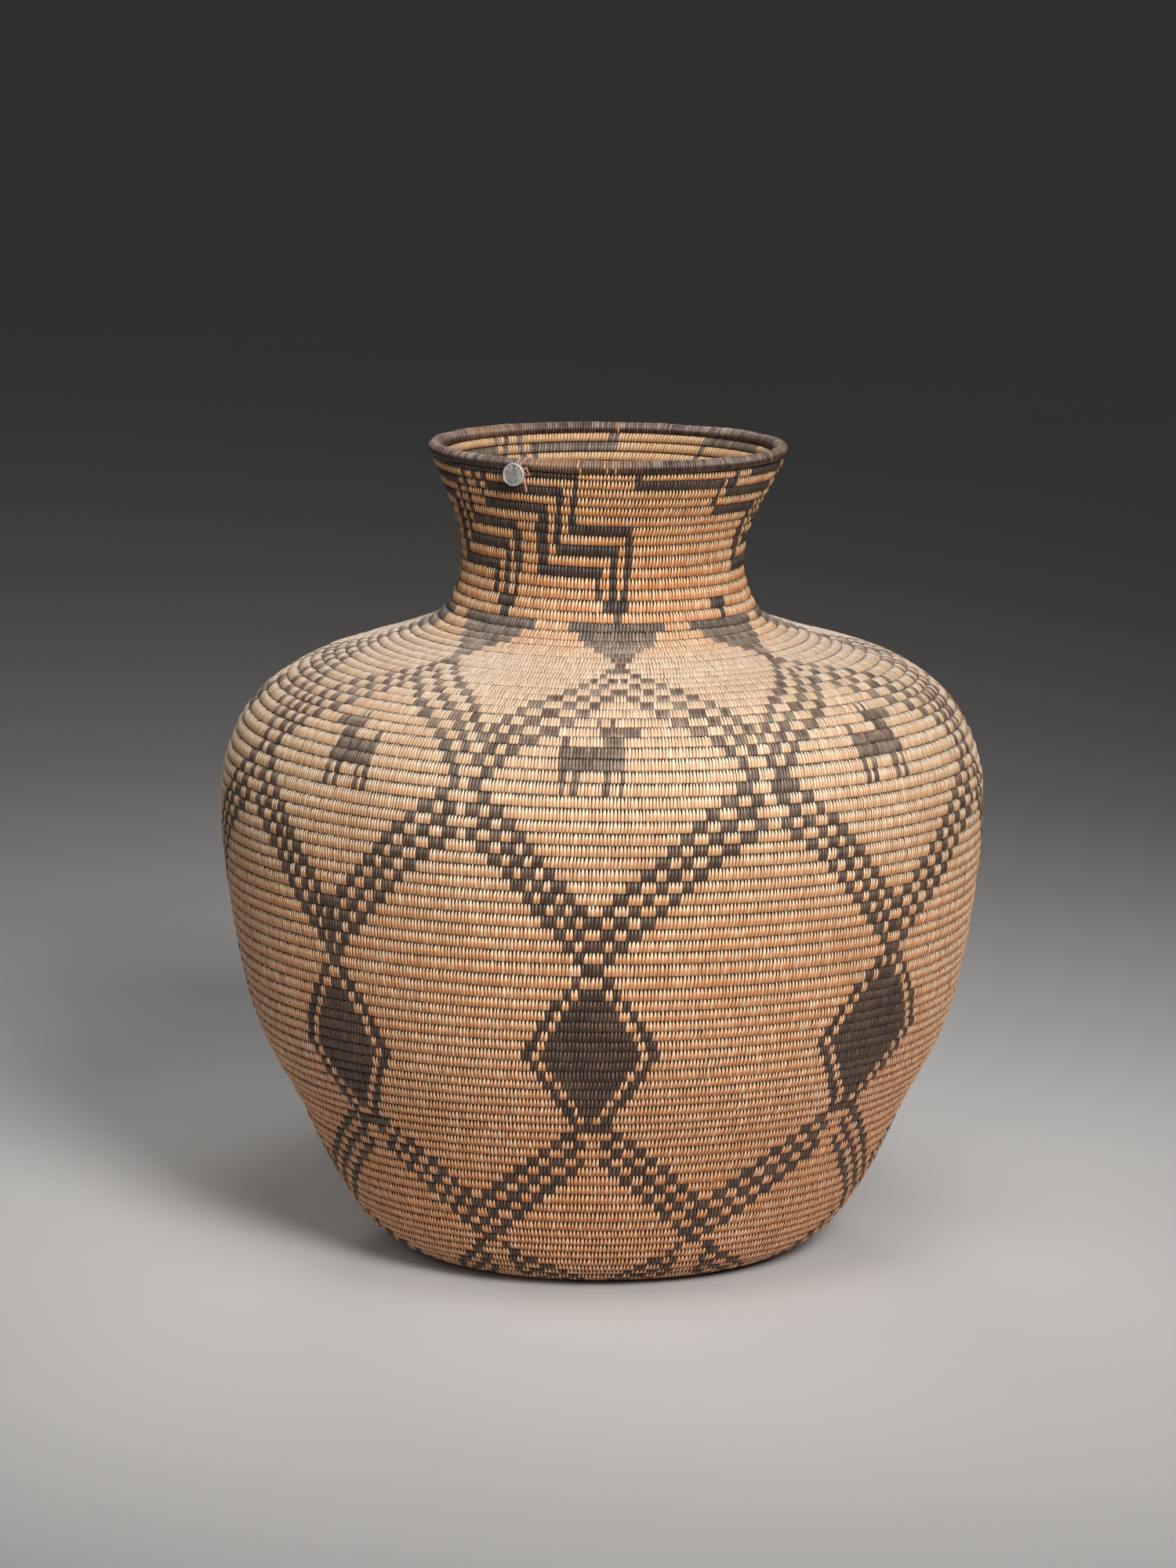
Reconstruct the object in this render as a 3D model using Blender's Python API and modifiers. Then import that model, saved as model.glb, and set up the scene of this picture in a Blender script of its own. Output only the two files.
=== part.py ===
"""Coiled basketry jar (olla) with a lead seal tied to its rim.

Metres, +Z up. The jar stands at the origin on its flat base, and -Y is its front.
Its wall is one coil that spirals outward from a start knot across the base, then up
the sides to the mouth. Every length of that coil is an object of its own: a strip of
courses with a round ridge and a sewn groove to each course, cut square at both ends
where the next length butts against it. A wrapped rim coil closes the mouth, and a
seal hangs from it on a thread that passes through a needle hole under the rim.
"""
import math

import bmesh
import bpy
import numpy as np
from mathutils import Matrix, Vector

# Overall size
BELLY_RADIUS = 0.1872
RIM_HEIGHT = 0.3951
WALL_THICKNESS = 0.0066
GROOVE_DEPTH = 0.0016

# Outer profile from the resting ring to the lip:
# radius as a share of BELLY_RADIUS, height as a share of RIM_HEIGHT
PROFILE_SHARES = (
    (0.476, 0.000),
    (0.595, 0.026),
    (0.700, 0.090),
    (0.804, 0.191),
    (0.904, 0.284),
    (0.960, 0.386),
    (1.000, 0.539),
    (0.989, 0.616),
    (0.920, 0.686),
    (0.789, 0.733),
    (0.546, 0.771),
    (0.425, 0.796),
    (0.381, 0.835),
    (0.372, 0.866),
    (0.389, 0.914),
    (0.434, 0.963),
    (0.466, 0.996),
)

# The coil: each length's name and its runs of courses from the foot up. A run has its
# gauge, and how far its last course dips to the right and at both sides, all as shares
# of the mean gauge
BASE_COURSES = 14
WALL_ZONES = (
    ("heel_courses", ((4, 0.99, -0.27, 0.27), (3, 0.98, -0.22, 0.24))),
    ("lower_wall_courses", ((3, 0.92, -0.18, 0.22), (5, 1.02, -0.11, 0.16),
                            (4, 1.01, -0.33, 0.31), (4, 0.93, -0.50, 0.42))),
    ("middle_wall_courses", ((7, 0.94, -0.22, 0.20), (5, 0.93, 0.05, 0.02),
                             (4, 1.08, 0.14, 0.15))),
    ("belly_courses", ((6, 1.05, 0.27, 0.27), (6, 1.02, 0.38, 0.02))),
    ("shoulder_courses", ((5, 1.13, 0.45, -0.18), (4, 1.18, 0.48, 0.02),
                          (4, 1.21, 0.22, 0.00))),
    ("collar_courses", ((6, 0.99, 0.00, 0.00), (5, 0.90, 0.22, 0.00))),
    ("neck_courses", ((6, 0.95, 0.24, -0.20),)),
    ("mouth_courses", ((4, 0.93, 0.42, -0.13), (4, 0.84, 0.00, 0.00))),
)
RIBBED_INSIDE = ("neck_courses", "mouth_courses")
KNOT_RADIUS = 0.0090
COIL_TAPER = 0.0006
SEGMENTS = 28
INNER_COURSES = 3
CURVE_STEPS = 12
RIDGE_SHARE = 0.5
FULL_RIDGE_SHARE = 0.8
LAND_SHARES = (0.22, 0.78)
SHARP_ANGLE = math.radians(70.0)

# The upper jar leans a little: its rings dip to the right, and its mouth sits off centre
LEAN_ANGLE = math.radians(0.6)
LEAN_START_SHARE = 0.72
LEAN_END_SHARE = 0.80
MOUTH_SHIFT = 0.0030
SHIFT_START_SHARE = 0.86

# Rim coil, wound on the wall's middle line at the lip
RIM_THICKNESS = 0.0066
RIM_STEPS = 48
RIM_SIDES = 8

# Lead seal, its thread and the needle hole that the thread passes through
SEAL_DIAMETER = 0.0112
SEAL_THICKNESS = 0.0024
SEAL_LIP = 0.0003
SEAL_LIP_WIDTH = 0.0006
SEAL_STEPS = 24
SEAL_CENTRE_DROP = 0.0040
SEAL_SIDE_SHIFT = 0.0050
THREAD_DIAMETER = 0.0009
THREAD_HOLE_DIAMETER = 0.0014
THREAD_PITCH = 0.0018
THREAD_BED = 0.0014
THREAD_ANGLE = math.radians(-27.0)
THREAD_IN_ANGLE = math.radians(55.0)
THREAD_OUT_ANGLE = math.radians(28.0)
LOOP_START = math.radians(48.0)
LOOP_END = math.radians(318.0)
LOOP_STEPS = 15
NEEDLE_HOLE_DIAMETER = 0.0034
TAIL_RED_LENGTH = 0.0022
TAIL_TAN_LENGTH = 0.0050
TAIL_RED_ANGLE = math.radians(2.0)
TAIL_TAN_ANGLE = math.radians(-28.0)
TAIL_TAN_TURN = math.radians(-50.0)

# Fit
GAP = 0.0003

COLOURS = {
    "coil": ((0.50, 0.31, 0.16), 0.62, 0.0),
    "rim": ((0.10, 0.065, 0.045), 0.50, 0.0),
    "lead": ((0.42, 0.42, 0.41), 0.45, 0.8),
    "thread": ((0.55, 0.36, 0.20), 0.70, 0.0),
    "red_thread": ((0.55, 0.10, 0.08), 0.70, 0.0),
}


def clear_scene():
    """Remove what the file already holds."""
    for old in list(bpy.data.objects):
        bpy.data.objects.remove(old, do_unlink=True)


def new_collection(name):
    """Return a fresh collection linked to the scene."""
    collection = bpy.data.collections.new(name)
    bpy.context.scene.collection.children.link(collection)
    return collection


def material(name):
    """Return the Principled material of a finish, made once."""
    found = bpy.data.materials.get(name)
    if found:
        return found
    colour, roughness, metallic = COLOURS[name]
    made = bpy.data.materials.new(name)
    made.use_nodes = True
    shader = made.node_tree.nodes["Principled BSDF"]
    shader.inputs["Base Color"].default_value = (*colour, 1.0)
    shader.inputs["Roughness"].default_value = roughness
    shader.inputs["Metallic"].default_value = metallic
    return made


def file_object(obj, collection, finish):
    """Move an object into its collection and give it its finish."""
    for holder in list(obj.users_collection):
        holder.objects.unlink(obj)
    collection.objects.link(obj)
    obj.data.materials.clear()
    obj.data.materials.append(material(finish))
    return obj


def shade_round(obj):
    """Shade a turned or round mesh smooth, with its real corners kept sharp."""
    obj.data.shade_smooth()
    obj.data.set_sharp_from_angle(angle=SHARP_ANGLE)
    return obj


def smooth_line(points, steps):
    """Return a centripetal curve through points, with its two ends mirrored."""
    points = [Vector(point) for point in points]
    first = 2.0 * points[0] - points[1]
    first.y = points[0].y
    guides = [first] + points + [2.0 * points[-1] - points[-2]]
    line = [points[0]]
    for before, start, end, after in zip(guides, guides[1:], guides[2:], guides[3:]):
        t1 = math.sqrt((start - before).length)
        t2 = t1 + math.sqrt((end - start).length)
        t3 = t2 + math.sqrt((after - end).length)
        for step in range(1, steps + 1):
            t = t1 + (t2 - t1) * step / steps
            a1 = before.lerp(start, t / t1)
            a2 = start.lerp(end, (t - t1) / (t2 - t1))
            a3 = end.lerp(after, (t - t2) / (t3 - t2))
            b1 = a1.lerp(a2, t / t2)
            b2 = a2.lerp(a3, (t - t1) / (t3 - t1))
            line.append(b1.lerp(b2, (t - t1) / (t2 - t1)))
    return line


class Profile:
    """The jar's outer line as radius and height along its length from the base's centre."""

    def __init__(self):
        wall = [Vector((radius * BELLY_RADIUS, height * RIM_HEIGHT))
                for radius, height in PROFILE_SHARES]
        line = [Vector((0.0, 0.0))] + smooth_line(wall, CURVE_STEPS)
        steps = [(after - before).length for before, after in zip(line, line[1:])]
        self.arcs = np.concatenate(([0.0], np.cumsum(steps)))
        self.radii = np.array([point.x for point in line])
        self.heights = np.array([point.y for point in line])
        self.foot = wall[0].x
        self.lip = float(self.arcs[-1])
        self.rim = self.at(self.lip) - WALL_THICKNESS / 2.0 * self.outward(self.lip)

    def at(self, arc):
        """Radius and height at a length along the line."""
        return Vector((float(np.interp(arc, self.arcs, self.radii)),
                       float(np.interp(arc, self.arcs, self.heights))))

    def outward(self, arc):
        """Unit direction out of the wall at a length along the line."""
        run = self.at(min(arc + WALL_THICKNESS, self.lip)) - self.at(arc - WALL_THICKNESS)
        run.normalize()
        return Vector((run.y, -run.x))


def ease(value, start, end):
    """Rise smoothly from 0 at start to 1 at end."""
    share = min(max((value - start) / (end - start), 0.0), 1.0)
    return share * share * (3.0 - 2.0 * share)


def lean(point):
    """Dip the upper rings to the right and carry the mouth off centre."""
    tilt = ease(point.z, LEAN_START_SHARE * RIM_HEIGHT, LEAN_END_SHARE * RIM_HEIGHT)
    drift = ease(point.z, SHIFT_START_SHARE * RIM_HEIGHT, RIM_HEIGHT)
    return Vector((point.x + MOUTH_SHIFT * drift,
                   point.y,
                   point.z - math.tan(LEAN_ANGLE) * point.x * tilt))


def around(radius, angle, height):
    """A point at an angle from the front, positive to the right."""
    return Vector((radius * math.sin(angle), -radius * math.cos(angle), height))


class Coil:
    """The spiral: where the edge of each course lies, counted in turns from the knot."""

    def __init__(self, profile):
        self.profile = profile
        base_gauge = (profile.foot - KNOT_RADIUS) / BASE_COURSES
        top = profile.lip - RIM_THICKNESS / 2.0 - GAP - COIL_TAPER
        runs = [run for name, zone in WALL_ZONES for run in zone]
        shares = sum(courses * share for courses, share, right, sides in runs)
        wall_gauge = (top - profile.foot) / shares
        turns = [0, 1, 2, BASE_COURSES]
        arcs = [KNOT_RADIUS, KNOT_RADIUS + COIL_TAPER, KNOT_RADIUS + base_gauge, profile.foot]
        dips = [(0.0, 0.0)] * len(turns)
        for courses, share, right, sides in runs:
            turns.append(turns[-1] + courses)
            arcs.append(arcs[-1] + courses * share * wall_gauge)
            dips.append((right * wall_gauge, sides * wall_gauge))
        turns.append(turns[-1] + 1)
        arcs.append(arcs[-1] + COIL_TAPER)
        dips.append(dips[-1])
        self.turns = turns
        self.arcs = arcs
        self.right_dips, self.side_dips = zip(*dips)
        self.gauge = wall_gauge

    def angle(self, turn):
        """Angle from the front of a place on the coil, positive to the right."""
        return math.pi - 2.0 * math.pi * (turn % 1.0)

    def edge(self, turn):
        """Length along the profile of the spiral edge at a turn, with the courses' dips."""
        side = math.sin(self.angle(turn))
        dip = (float(np.interp(turn, self.turns, self.right_dips)) * side
               + float(np.interp(turn, self.turns, self.side_dips)) * side * side)
        return float(np.interp(turn, self.turns, self.arcs)) - dip

    def point(self, turn, arc, depth, side=0.0):
        """A point of the coil, its depth measured into the wall, moved along the coil by side."""
        flat = self.profile.at(arc) - depth * self.profile.outward(arc)
        angle = self.angle(turn) - side / max(flat.x, KNOT_RADIUS)
        return lean(around(flat.x, angle, flat.y))


def coil_strip(name, coil, first, last, ridges, collection):
    """One length of the coil from turn first to turn last, as a closed grooved strip."""
    body = bmesh.new()
    groove = {}
    inner = {}
    ridge = {}
    rib = {}
    low, high = first * SEGMENTS, last * SEGMENTS
    ribbed = name in RIBBED_INSIDE
    inner_depth = WALL_THICKNESS - GROOVE_DEPTH if ribbed else WALL_THICKNESS

    def place(index):
        """Groove and inner points on the spiral edge, drawn back at the strip's own edges."""
        turn = index / SEGMENTS
        arc = coil.edge(turn)
        side = 0.0
        if index <= low + SEGMENTS:
            arc += GAP / 2.0
        if index >= high:
            arc -= GAP / 2.0
        if index == low:
            side = GAP
        if index == high + SEGMENTS:
            side = -GAP
        groove[index] = body.verts.new(coil.point(turn, arc, GROOVE_DEPTH, side))
        inner[index] = body.verts.new(coil.point(turn, arc, inner_depth, side))

    for index in range(low, high + SEGMENTS + 1):
        place(index)
    for index in range(low, high + 1):
        turn = index / SEGMENTS
        start, end = coil.edge(turn), coil.edge(turn + 1.0)
        side = GAP / 2.0 if index == low else -GAP / 2.0 if index == high else 0.0
        rise = min((end - start) / (FULL_RIDGE_SHARE * coil.gauge), 1.0)
        sunk = GROOVE_DEPTH * (1.0 - rise)
        ridge[index] = [
            body.verts.new(coil.point(turn, start + share * (end - start), sunk, side))
            for share in ridges]
        crest = start + RIDGE_SHARE * (end - start)
        rib[index] = [body.verts.new(coil.point(turn, crest, WALL_THICKNESS - sunk, side))
                      ] if ribbed else []

    def cover(index, edge, crests):
        """Faces of one side of a course, from a place on the coil to the next."""
        here = [edge[index]] + crests[index] + [edge[index + SEGMENTS]]
        there = [edge[index + 1]] + crests[index + 1] + [edge[index + 1 + SEGMENTS]]
        for a, b, c, d in zip(here, here[1:], there[1:], there):
            body.faces.new((a, b, c, d))

    for index in range(low, high):
        cover(index, groove, ridge)
        if ribbed:
            cover(index, inner, rib)
    for start in (low, high):
        for index in range(start, start + SEGMENTS):
            body.faces.new((groove[index], groove[index + 1], inner[index + 1], inner[index]))
    for index in (low, high):
        body.faces.new([groove[index]] + ridge[index]
                       + [groove[index + SEGMENTS], inner[index + SEGMENTS]]
                       + rib[index] + [inner[index]])
    if not ribbed:
        fill_inside(body, inner, first, last)
    for vert in [v for v in body.verts if not v.link_faces]:
        body.verts.remove(vert)
    bmesh.ops.recalc_face_normals(body, faces=body.faces)
    sewn = set(groove.values())
    if ribbed:
        sewn.update(inner.values())
    for edge in body.edges:
        edge.smooth = edge.calc_face_angle() < SHARP_ANGLE and not sewn.issuperset(edge.verts)
    for face in body.faces:
        face.smooth = True
    bmesh.ops.triangulate(body, faces=body.faces)
    mesh = bpy.data.meshes.new(name)
    body.to_mesh(mesh)
    body.free()
    return file_object(bpy.data.objects.new(name, mesh), collection, "coil")


def fill_inside(body, inner, first, last):
    """Close the strip's smooth inner side with faces several courses tall."""
    for column in range(SEGMENTS):
        for low in range(first, last, INNER_COURSES):
            high = min(low + INNER_COURSES, last)
            here = ladder(column, low, high)
            there = ladder(column + 1, low, high)
            corners = [inner[index] for index in here + there[::-1]]
            body.faces.new(corners)


def ladder(column, low, high):
    """Spiral edge points up one column, with every course's point beside the seam."""
    turns = range(low, high + 1) if column in (0, SEGMENTS) else (low, high)
    return [turn * SEGMENTS + column for turn in turns]


def make_knot(collection):
    """The start knot: a flat button that the first course winds around."""
    bpy.ops.mesh.primitive_cylinder_add(vertices=SEGMENTS, radius=KNOT_RADIUS - GAP,
                                        depth=WALL_THICKNESS,
                                        location=(0.0, 0.0, WALL_THICKNESS / 2.0))
    knot = bpy.context.object
    knot.name = "start_knot"
    return shade_round(file_object(knot, collection, "coil"))


def make_rim(profile, collection):
    """The last coil, wrapped all round, that closes the mouth."""
    bpy.ops.mesh.primitive_torus_add(major_radius=profile.rim.x,
                                     minor_radius=RIM_THICKNESS / 2.0,
                                     major_segments=RIM_STEPS, minor_segments=RIM_SIDES)
    rim = bpy.context.object
    rim.name = "rim_coil"
    rim.location = (MOUTH_SHIFT, 0.0, profile.rim.y)
    rim.rotation_euler = (0.0, LEAN_ANGLE, 0.0)
    return shade_round(file_object(rim, collection, "rim"))


def rim_frame(profile, angle):
    """Axes at a place on the rim coil: X to the right along the rim, -Y outward, +Z up."""
    centre = around(profile.rim.x, angle, 0.0)
    place = Matrix.Translation((MOUTH_SHIFT, 0.0, profile.rim.y))
    place @= Matrix.Rotation(LEAN_ANGLE, 4, "Y") @ Matrix.Translation(centre)
    return place @ Matrix.Rotation(angle, 4, "Z")


def make_pivot(name, collection, frame):
    """An empty on a joint's axis, which carries the pieces that move there."""
    pivot = bpy.data.objects.new(name, None)
    pivot.empty_display_size = RIM_THICKNESS
    pivot.matrix_world = frame
    collection.objects.link(pivot)
    return pivot


def hang(obj, pivot, frame):
    """Parent a piece to the empty that stands at frame, and leave it where it is."""
    obj.parent = pivot
    obj.matrix_parent_inverse = frame.inverted()


def tube(name, collection, finish, points, diameter, frame):
    """A thread with capped ends through points given in a local frame."""
    curve = bpy.data.curves.new(name, "CURVE")
    curve.dimensions = "3D"
    curve.bevel_depth = diameter / 2.0
    curve.bevel_resolution = 1
    curve.use_fill_caps = True
    spline = curve.splines.new("POLY")
    spline.points.add(len(points) - 1)
    for target, point in zip(spline.points, points):
        target.co = (*point, 1.0)
    obj = bpy.data.objects.new(name, curve)
    obj.matrix_world = frame
    return file_object(obj, collection, finish)


def cutter(name, hidden, radius, start, end, frame):
    """A round cutter between two points of a local frame, kept out of sight."""
    along = end - start
    bpy.ops.mesh.primitive_cylinder_add(vertices=12, radius=radius, depth=along.length)
    drill = bpy.context.object
    drill.name = name
    turn = along.to_track_quat("Z", "Y").to_matrix().to_4x4()
    drill.matrix_world = frame @ Matrix.Translation((start + end) / 2.0) @ turn
    file_object(drill, hidden, "lead")
    drill.hide_render = True
    drill.display_type = "WIRE"
    return drill


def cut(obj, drill):
    """Take a cutter out of a solid."""
    step = obj.modifiers.new(drill.name, "BOOLEAN")
    step.operation = "DIFFERENCE"
    step.solver = "EXACT"
    step.object = drill


def thread_loop_radius():
    """Radius of the thread's turn about the rim coil."""
    return RIM_THICKNESS / 2.0 + GAP + THREAD_DIAMETER / 2.0


def seal_plane():
    """How far out from the rim coil's centre the middle of the seal hangs."""
    return RIM_THICKNESS / 2.0 + GAP + SEAL_THICKNESS / 2.0


def seal_centre():
    """The seal's centre in the frame of the thread's place on the rim."""
    return Vector((-SEAL_SIDE_SHIFT, -seal_plane(), -SEAL_CENTRE_DROP))


def seal_edge(angle, inset):
    """A point in the seal's middle plane, inset from its edge at an angle above its right."""
    reach = SEAL_DIAMETER / 2.0 - inset
    return seal_centre() + Vector((reach * math.cos(angle), 0.0, reach * math.sin(angle)))


def make_thread(frame, collection):
    """The thread: out of the seal, once round the rim coil and back into the seal."""
    radius = thread_loop_radius()
    points = [seal_edge(THREAD_IN_ANGLE, THREAD_BED),
              seal_edge(THREAD_IN_ANGLE, -THREAD_DIAMETER)]
    for step in range(LOOP_STEPS + 1):
        share = step / LOOP_STEPS
        turn = LOOP_START + (LOOP_END - LOOP_START) * share
        points.append(Vector((THREAD_PITCH * share - THREAD_DIAMETER / 4.0,
                              -radius * math.cos(turn), radius * math.sin(turn))))
    points += [seal_edge(THREAD_OUT_ANGLE, -THREAD_PITCH),
               seal_edge(THREAD_OUT_ANGLE, -THREAD_DIAMETER / 2.0),
               seal_edge(THREAD_OUT_ANGLE, THREAD_BED)]
    return tube("seal_thread", collection, "thread", points, THREAD_DIAMETER, frame)


def make_tail(name, frame, collection, finish, angle, length, turn):
    """A cut end of the thread, crimped into the seal's edge and bent by turn outside it."""
    out = seal_edge(angle, -THREAD_DIAMETER)
    droop = Vector((math.cos(angle + turn), 0.0, math.sin(angle + turn)))
    points = [seal_edge(angle, THREAD_BED), out, out + length * droop]
    return tube(name, collection, finish, points, THREAD_DIAMETER, frame)


def make_seal(frame, collection, hidden):
    """The lead disc with its raised edge, drilled where the thread goes in and comes out."""
    radius = SEAL_DIAMETER / 2.0
    half = SEAL_THICKNESS / 2.0
    inside = radius - SEAL_LIP_WIDTH
    profile = [(0.0, half - SEAL_LIP), (inside, half - SEAL_LIP), (inside + SEAL_LIP, half),
               (radius, half), (radius, -half), (0.0, -half)]
    mesh = bpy.data.meshes.new("lead_seal")
    corners = [(x, 0.0, z) for x, z in profile]
    mesh.from_pydata(corners, [(i, i + 1) for i in range(len(corners) - 1)], [])
    seal = bpy.data.objects.new("lead_seal", mesh)
    collection.objects.link(seal)
    turned = seal.modifiers.new("turned", "SCREW")
    turned.steps = SEAL_STEPS
    turned.render_steps = SEAL_STEPS
    turned.use_merge_vertices = True
    turned.merge_threshold = SEAL_LIP_WIDTH / 20.0
    turned.use_normal_calculate = True
    turned.use_smooth_shade = False
    seal.matrix_world = (frame @ Matrix.Translation(seal_centre())
                         @ Matrix.Rotation(math.radians(90.0), 4, "X"))
    file_object(seal, collection, "lead")
    mouths = (THREAD_IN_ANGLE, THREAD_OUT_ANGLE, TAIL_RED_ANGLE, TAIL_TAN_ANGLE)
    for number, angle in enumerate(mouths):
        drill = cutter(f"seal_drill_{number}", hidden, THREAD_HOLE_DIAMETER / 2.0,
                       seal_edge(angle, THREAD_BED + GAP), seal_edge(angle, -THREAD_DIAMETER),
                       frame)
        cut(seal, drill)
    return seal


def pierce_mouth(mouth, profile, frame, hidden):
    """The needle hole under the rim coil, square to the flared wall, for the thread."""
    out, up = profile.outward(profile.lip)
    through = WALL_THICKNESS * Vector((0.0, -out, up))
    centre = Vector((THREAD_PITCH / 2.0 - THREAD_DIAMETER / 4.0,
                     -thread_loop_radius() * up, -thread_loop_radius() * out))
    drill = cutter("needle_hole", hidden, NEEDLE_HOLE_DIAMETER / 2.0,
                   centre - through, centre + through, frame)
    cut(mouth, drill)


def build():
    """Make the jar from the knot outward, then the rim and what hangs from it."""
    clear_scene()
    parts = new_collection("coiled_olla_basket")
    hidden = new_collection("cutters")
    profile = Profile()
    coil = Coil(profile)
    make_knot(parts)
    coil_strip("base_courses", coil, 0, BASE_COURSES, LAND_SHARES, parts)
    reached = BASE_COURSES
    for name, runs in WALL_ZONES:
        courses = sum(run[0] for run in runs)
        strip = coil_strip(name, coil, reached, reached + courses, (RIDGE_SHARE,), parts)
        reached += courses
    make_rim(profile, parts)
    swing = rim_frame(profile, THREAD_ANGLE)
    pierce_mouth(strip, profile, swing, hidden)
    hang(make_thread(swing, parts), make_pivot("thread_swing", parts, swing), swing)
    entry = (seal_edge(THREAD_IN_ANGLE, 0.0) + seal_edge(THREAD_OUT_ANGLE, 0.0)) / 2.0
    turn = swing @ Matrix.Translation(entry)
    seal_turn = make_pivot("seal_turn", parts, turn)
    hang(make_seal(swing, parts, hidden), seal_turn, turn)
    hang(make_tail("thread_tail_red", swing, parts, "red_thread", TAIL_RED_ANGLE,
                   TAIL_RED_LENGTH, 0.0), seal_turn, turn)
    hang(make_tail("thread_tail_tan", swing, parts, "thread", TAIL_TAN_ANGLE,
                   TAIL_TAN_LENGTH, TAIL_TAN_TURN), seal_turn, turn)


build()
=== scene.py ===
"""Looks of the coiled basketry jar: stitched coil, woven pattern, rim, seal and thread.

Metres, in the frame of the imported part. The jar's front is -Y. Angles are in degrees
from the front, positive to the right. Courses are counted from the rim at the front.
"""
import math

import bmesh
import bpy
import numpy as np
from mathutils import Matrix, Vector


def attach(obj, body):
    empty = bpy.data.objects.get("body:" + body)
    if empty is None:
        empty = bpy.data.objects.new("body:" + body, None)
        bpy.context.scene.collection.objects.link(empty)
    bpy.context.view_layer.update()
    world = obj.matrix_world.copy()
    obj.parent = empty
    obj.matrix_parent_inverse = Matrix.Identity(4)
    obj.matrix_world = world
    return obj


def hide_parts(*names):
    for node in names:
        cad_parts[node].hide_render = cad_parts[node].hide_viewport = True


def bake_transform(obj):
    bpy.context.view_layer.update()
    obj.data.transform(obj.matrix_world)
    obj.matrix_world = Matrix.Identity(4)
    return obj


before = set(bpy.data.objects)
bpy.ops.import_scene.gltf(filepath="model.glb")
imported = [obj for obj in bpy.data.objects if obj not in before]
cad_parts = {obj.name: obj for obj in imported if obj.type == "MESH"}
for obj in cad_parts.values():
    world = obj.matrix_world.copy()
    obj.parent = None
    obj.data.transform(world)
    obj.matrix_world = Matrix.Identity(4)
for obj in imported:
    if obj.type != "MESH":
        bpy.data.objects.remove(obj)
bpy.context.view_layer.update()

MM = 0.001

# The jar's outer line, as the CAD has it
BELLY_RADIUS = 0.1872
RIM_HEIGHT = 0.3951
WALL = 0.0066
GROOVE = 0.0016
PROFILE_SHARES = (
    (0.476, 0.000), (0.595, 0.026), (0.700, 0.090), (0.804, 0.191), (0.904, 0.284),
    (0.960, 0.386), (1.000, 0.539), (0.989, 0.616), (0.920, 0.686), (0.789, 0.733),
    (0.546, 0.771), (0.425, 0.796), (0.381, 0.835), (0.372, 0.866), (0.389, 0.914),
    (0.434, 0.963), (0.466, 0.996),
)
CURVE_STEPS = 12
OUTLINE_STEP = 0.25 * MM
LEAN = math.tan(math.radians(0.6))
LEAN_FROM, LEAN_TO = 0.72 * RIM_HEIGHT, 0.80 * RIM_HEIGHT
SHIFT = 0.0030
SHIFT_FROM = 0.86 * RIM_HEIGHT

# The coil, in turns from the knot: the arc of its edge in mm, and how far the courses dip
# to the right and at both sides, in mm. A turn is whole at the back, as in the CAD
TOP_COURSE = 103
EDGE_TURNS = (0, 1, 2, 14, 21, 24, 29, 33, 37, 44, 49, 53, 59, 65, 70, 74, 78, 84, 89, 95,
              99, 102, 103, 104)
EDGE_ARCS = (9.0, 9.6, 14.7, 89.1, 127.2, 142.5, 170.6, 192.7, 213.3, 249.6, 275.4, 299.3,
             334.1, 367.9, 399.2, 425.3, 452.0, 484.8, 509.7, 541.1, 561.7, 576.7, 581.6,
             583.0)
DIP_RIGHT = (0.0, 0.0, 0.0, 0.0, -1.2, -1.0, -0.6, -1.8, -2.7, -1.2, 0.25, 0.75, 1.45,
             2.1, 2.45, 2.2, 0.4, -0.8, 0.4, 0.0, 1.6, 0.6, 0.4, 0.0)
DIP_SIDES = (0.0, 0.0, 0.0, 0.0, 1.3, 1.2, 0.9, 1.7, 2.3, 1.1, 0.1, 0.8, 1.5, 0.1, -1.0,
             0.1, 0.0, 0.0, 0.0, -1.1, -0.7, 0.0, 0.0, 0.0)
# Stitch pitch in mm, by course from the rim
PITCH_COURSES = (0, 8, 14, 20, 28, 36, 42, 60, 90)
PITCHES = (1.74, 1.70, 1.76, 1.62, 1.55, 1.62, 1.75, 1.83, 1.83)

# The pieces of the coil: name, CAD node, first and last turn, and number of lengths
ZONES = (
    ("base_coil", "base_courses", 0, 14, 1),
    ("heel_coil", "heel_courses", 14, 21, 1),
    ("lower_wall_coil", "lower_wall_courses", 21, 37, 3),
    ("middle_wall_coil", "middle_wall_courses", 37, 53, 4),
    ("belly_coil", "belly_courses", 53, 65, 3),
    ("shoulder_coil", "shoulder_courses", 65, 78, 3),
    ("collar_coil", "collar_courses", 78, 89, 2),
    ("neck_coil", "neck_courses", 89, 95, 1),
    ("mouth_coil", "mouth_courses", 95, 103, 2),
)

rng = np.random.default_rng(1897)


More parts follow.
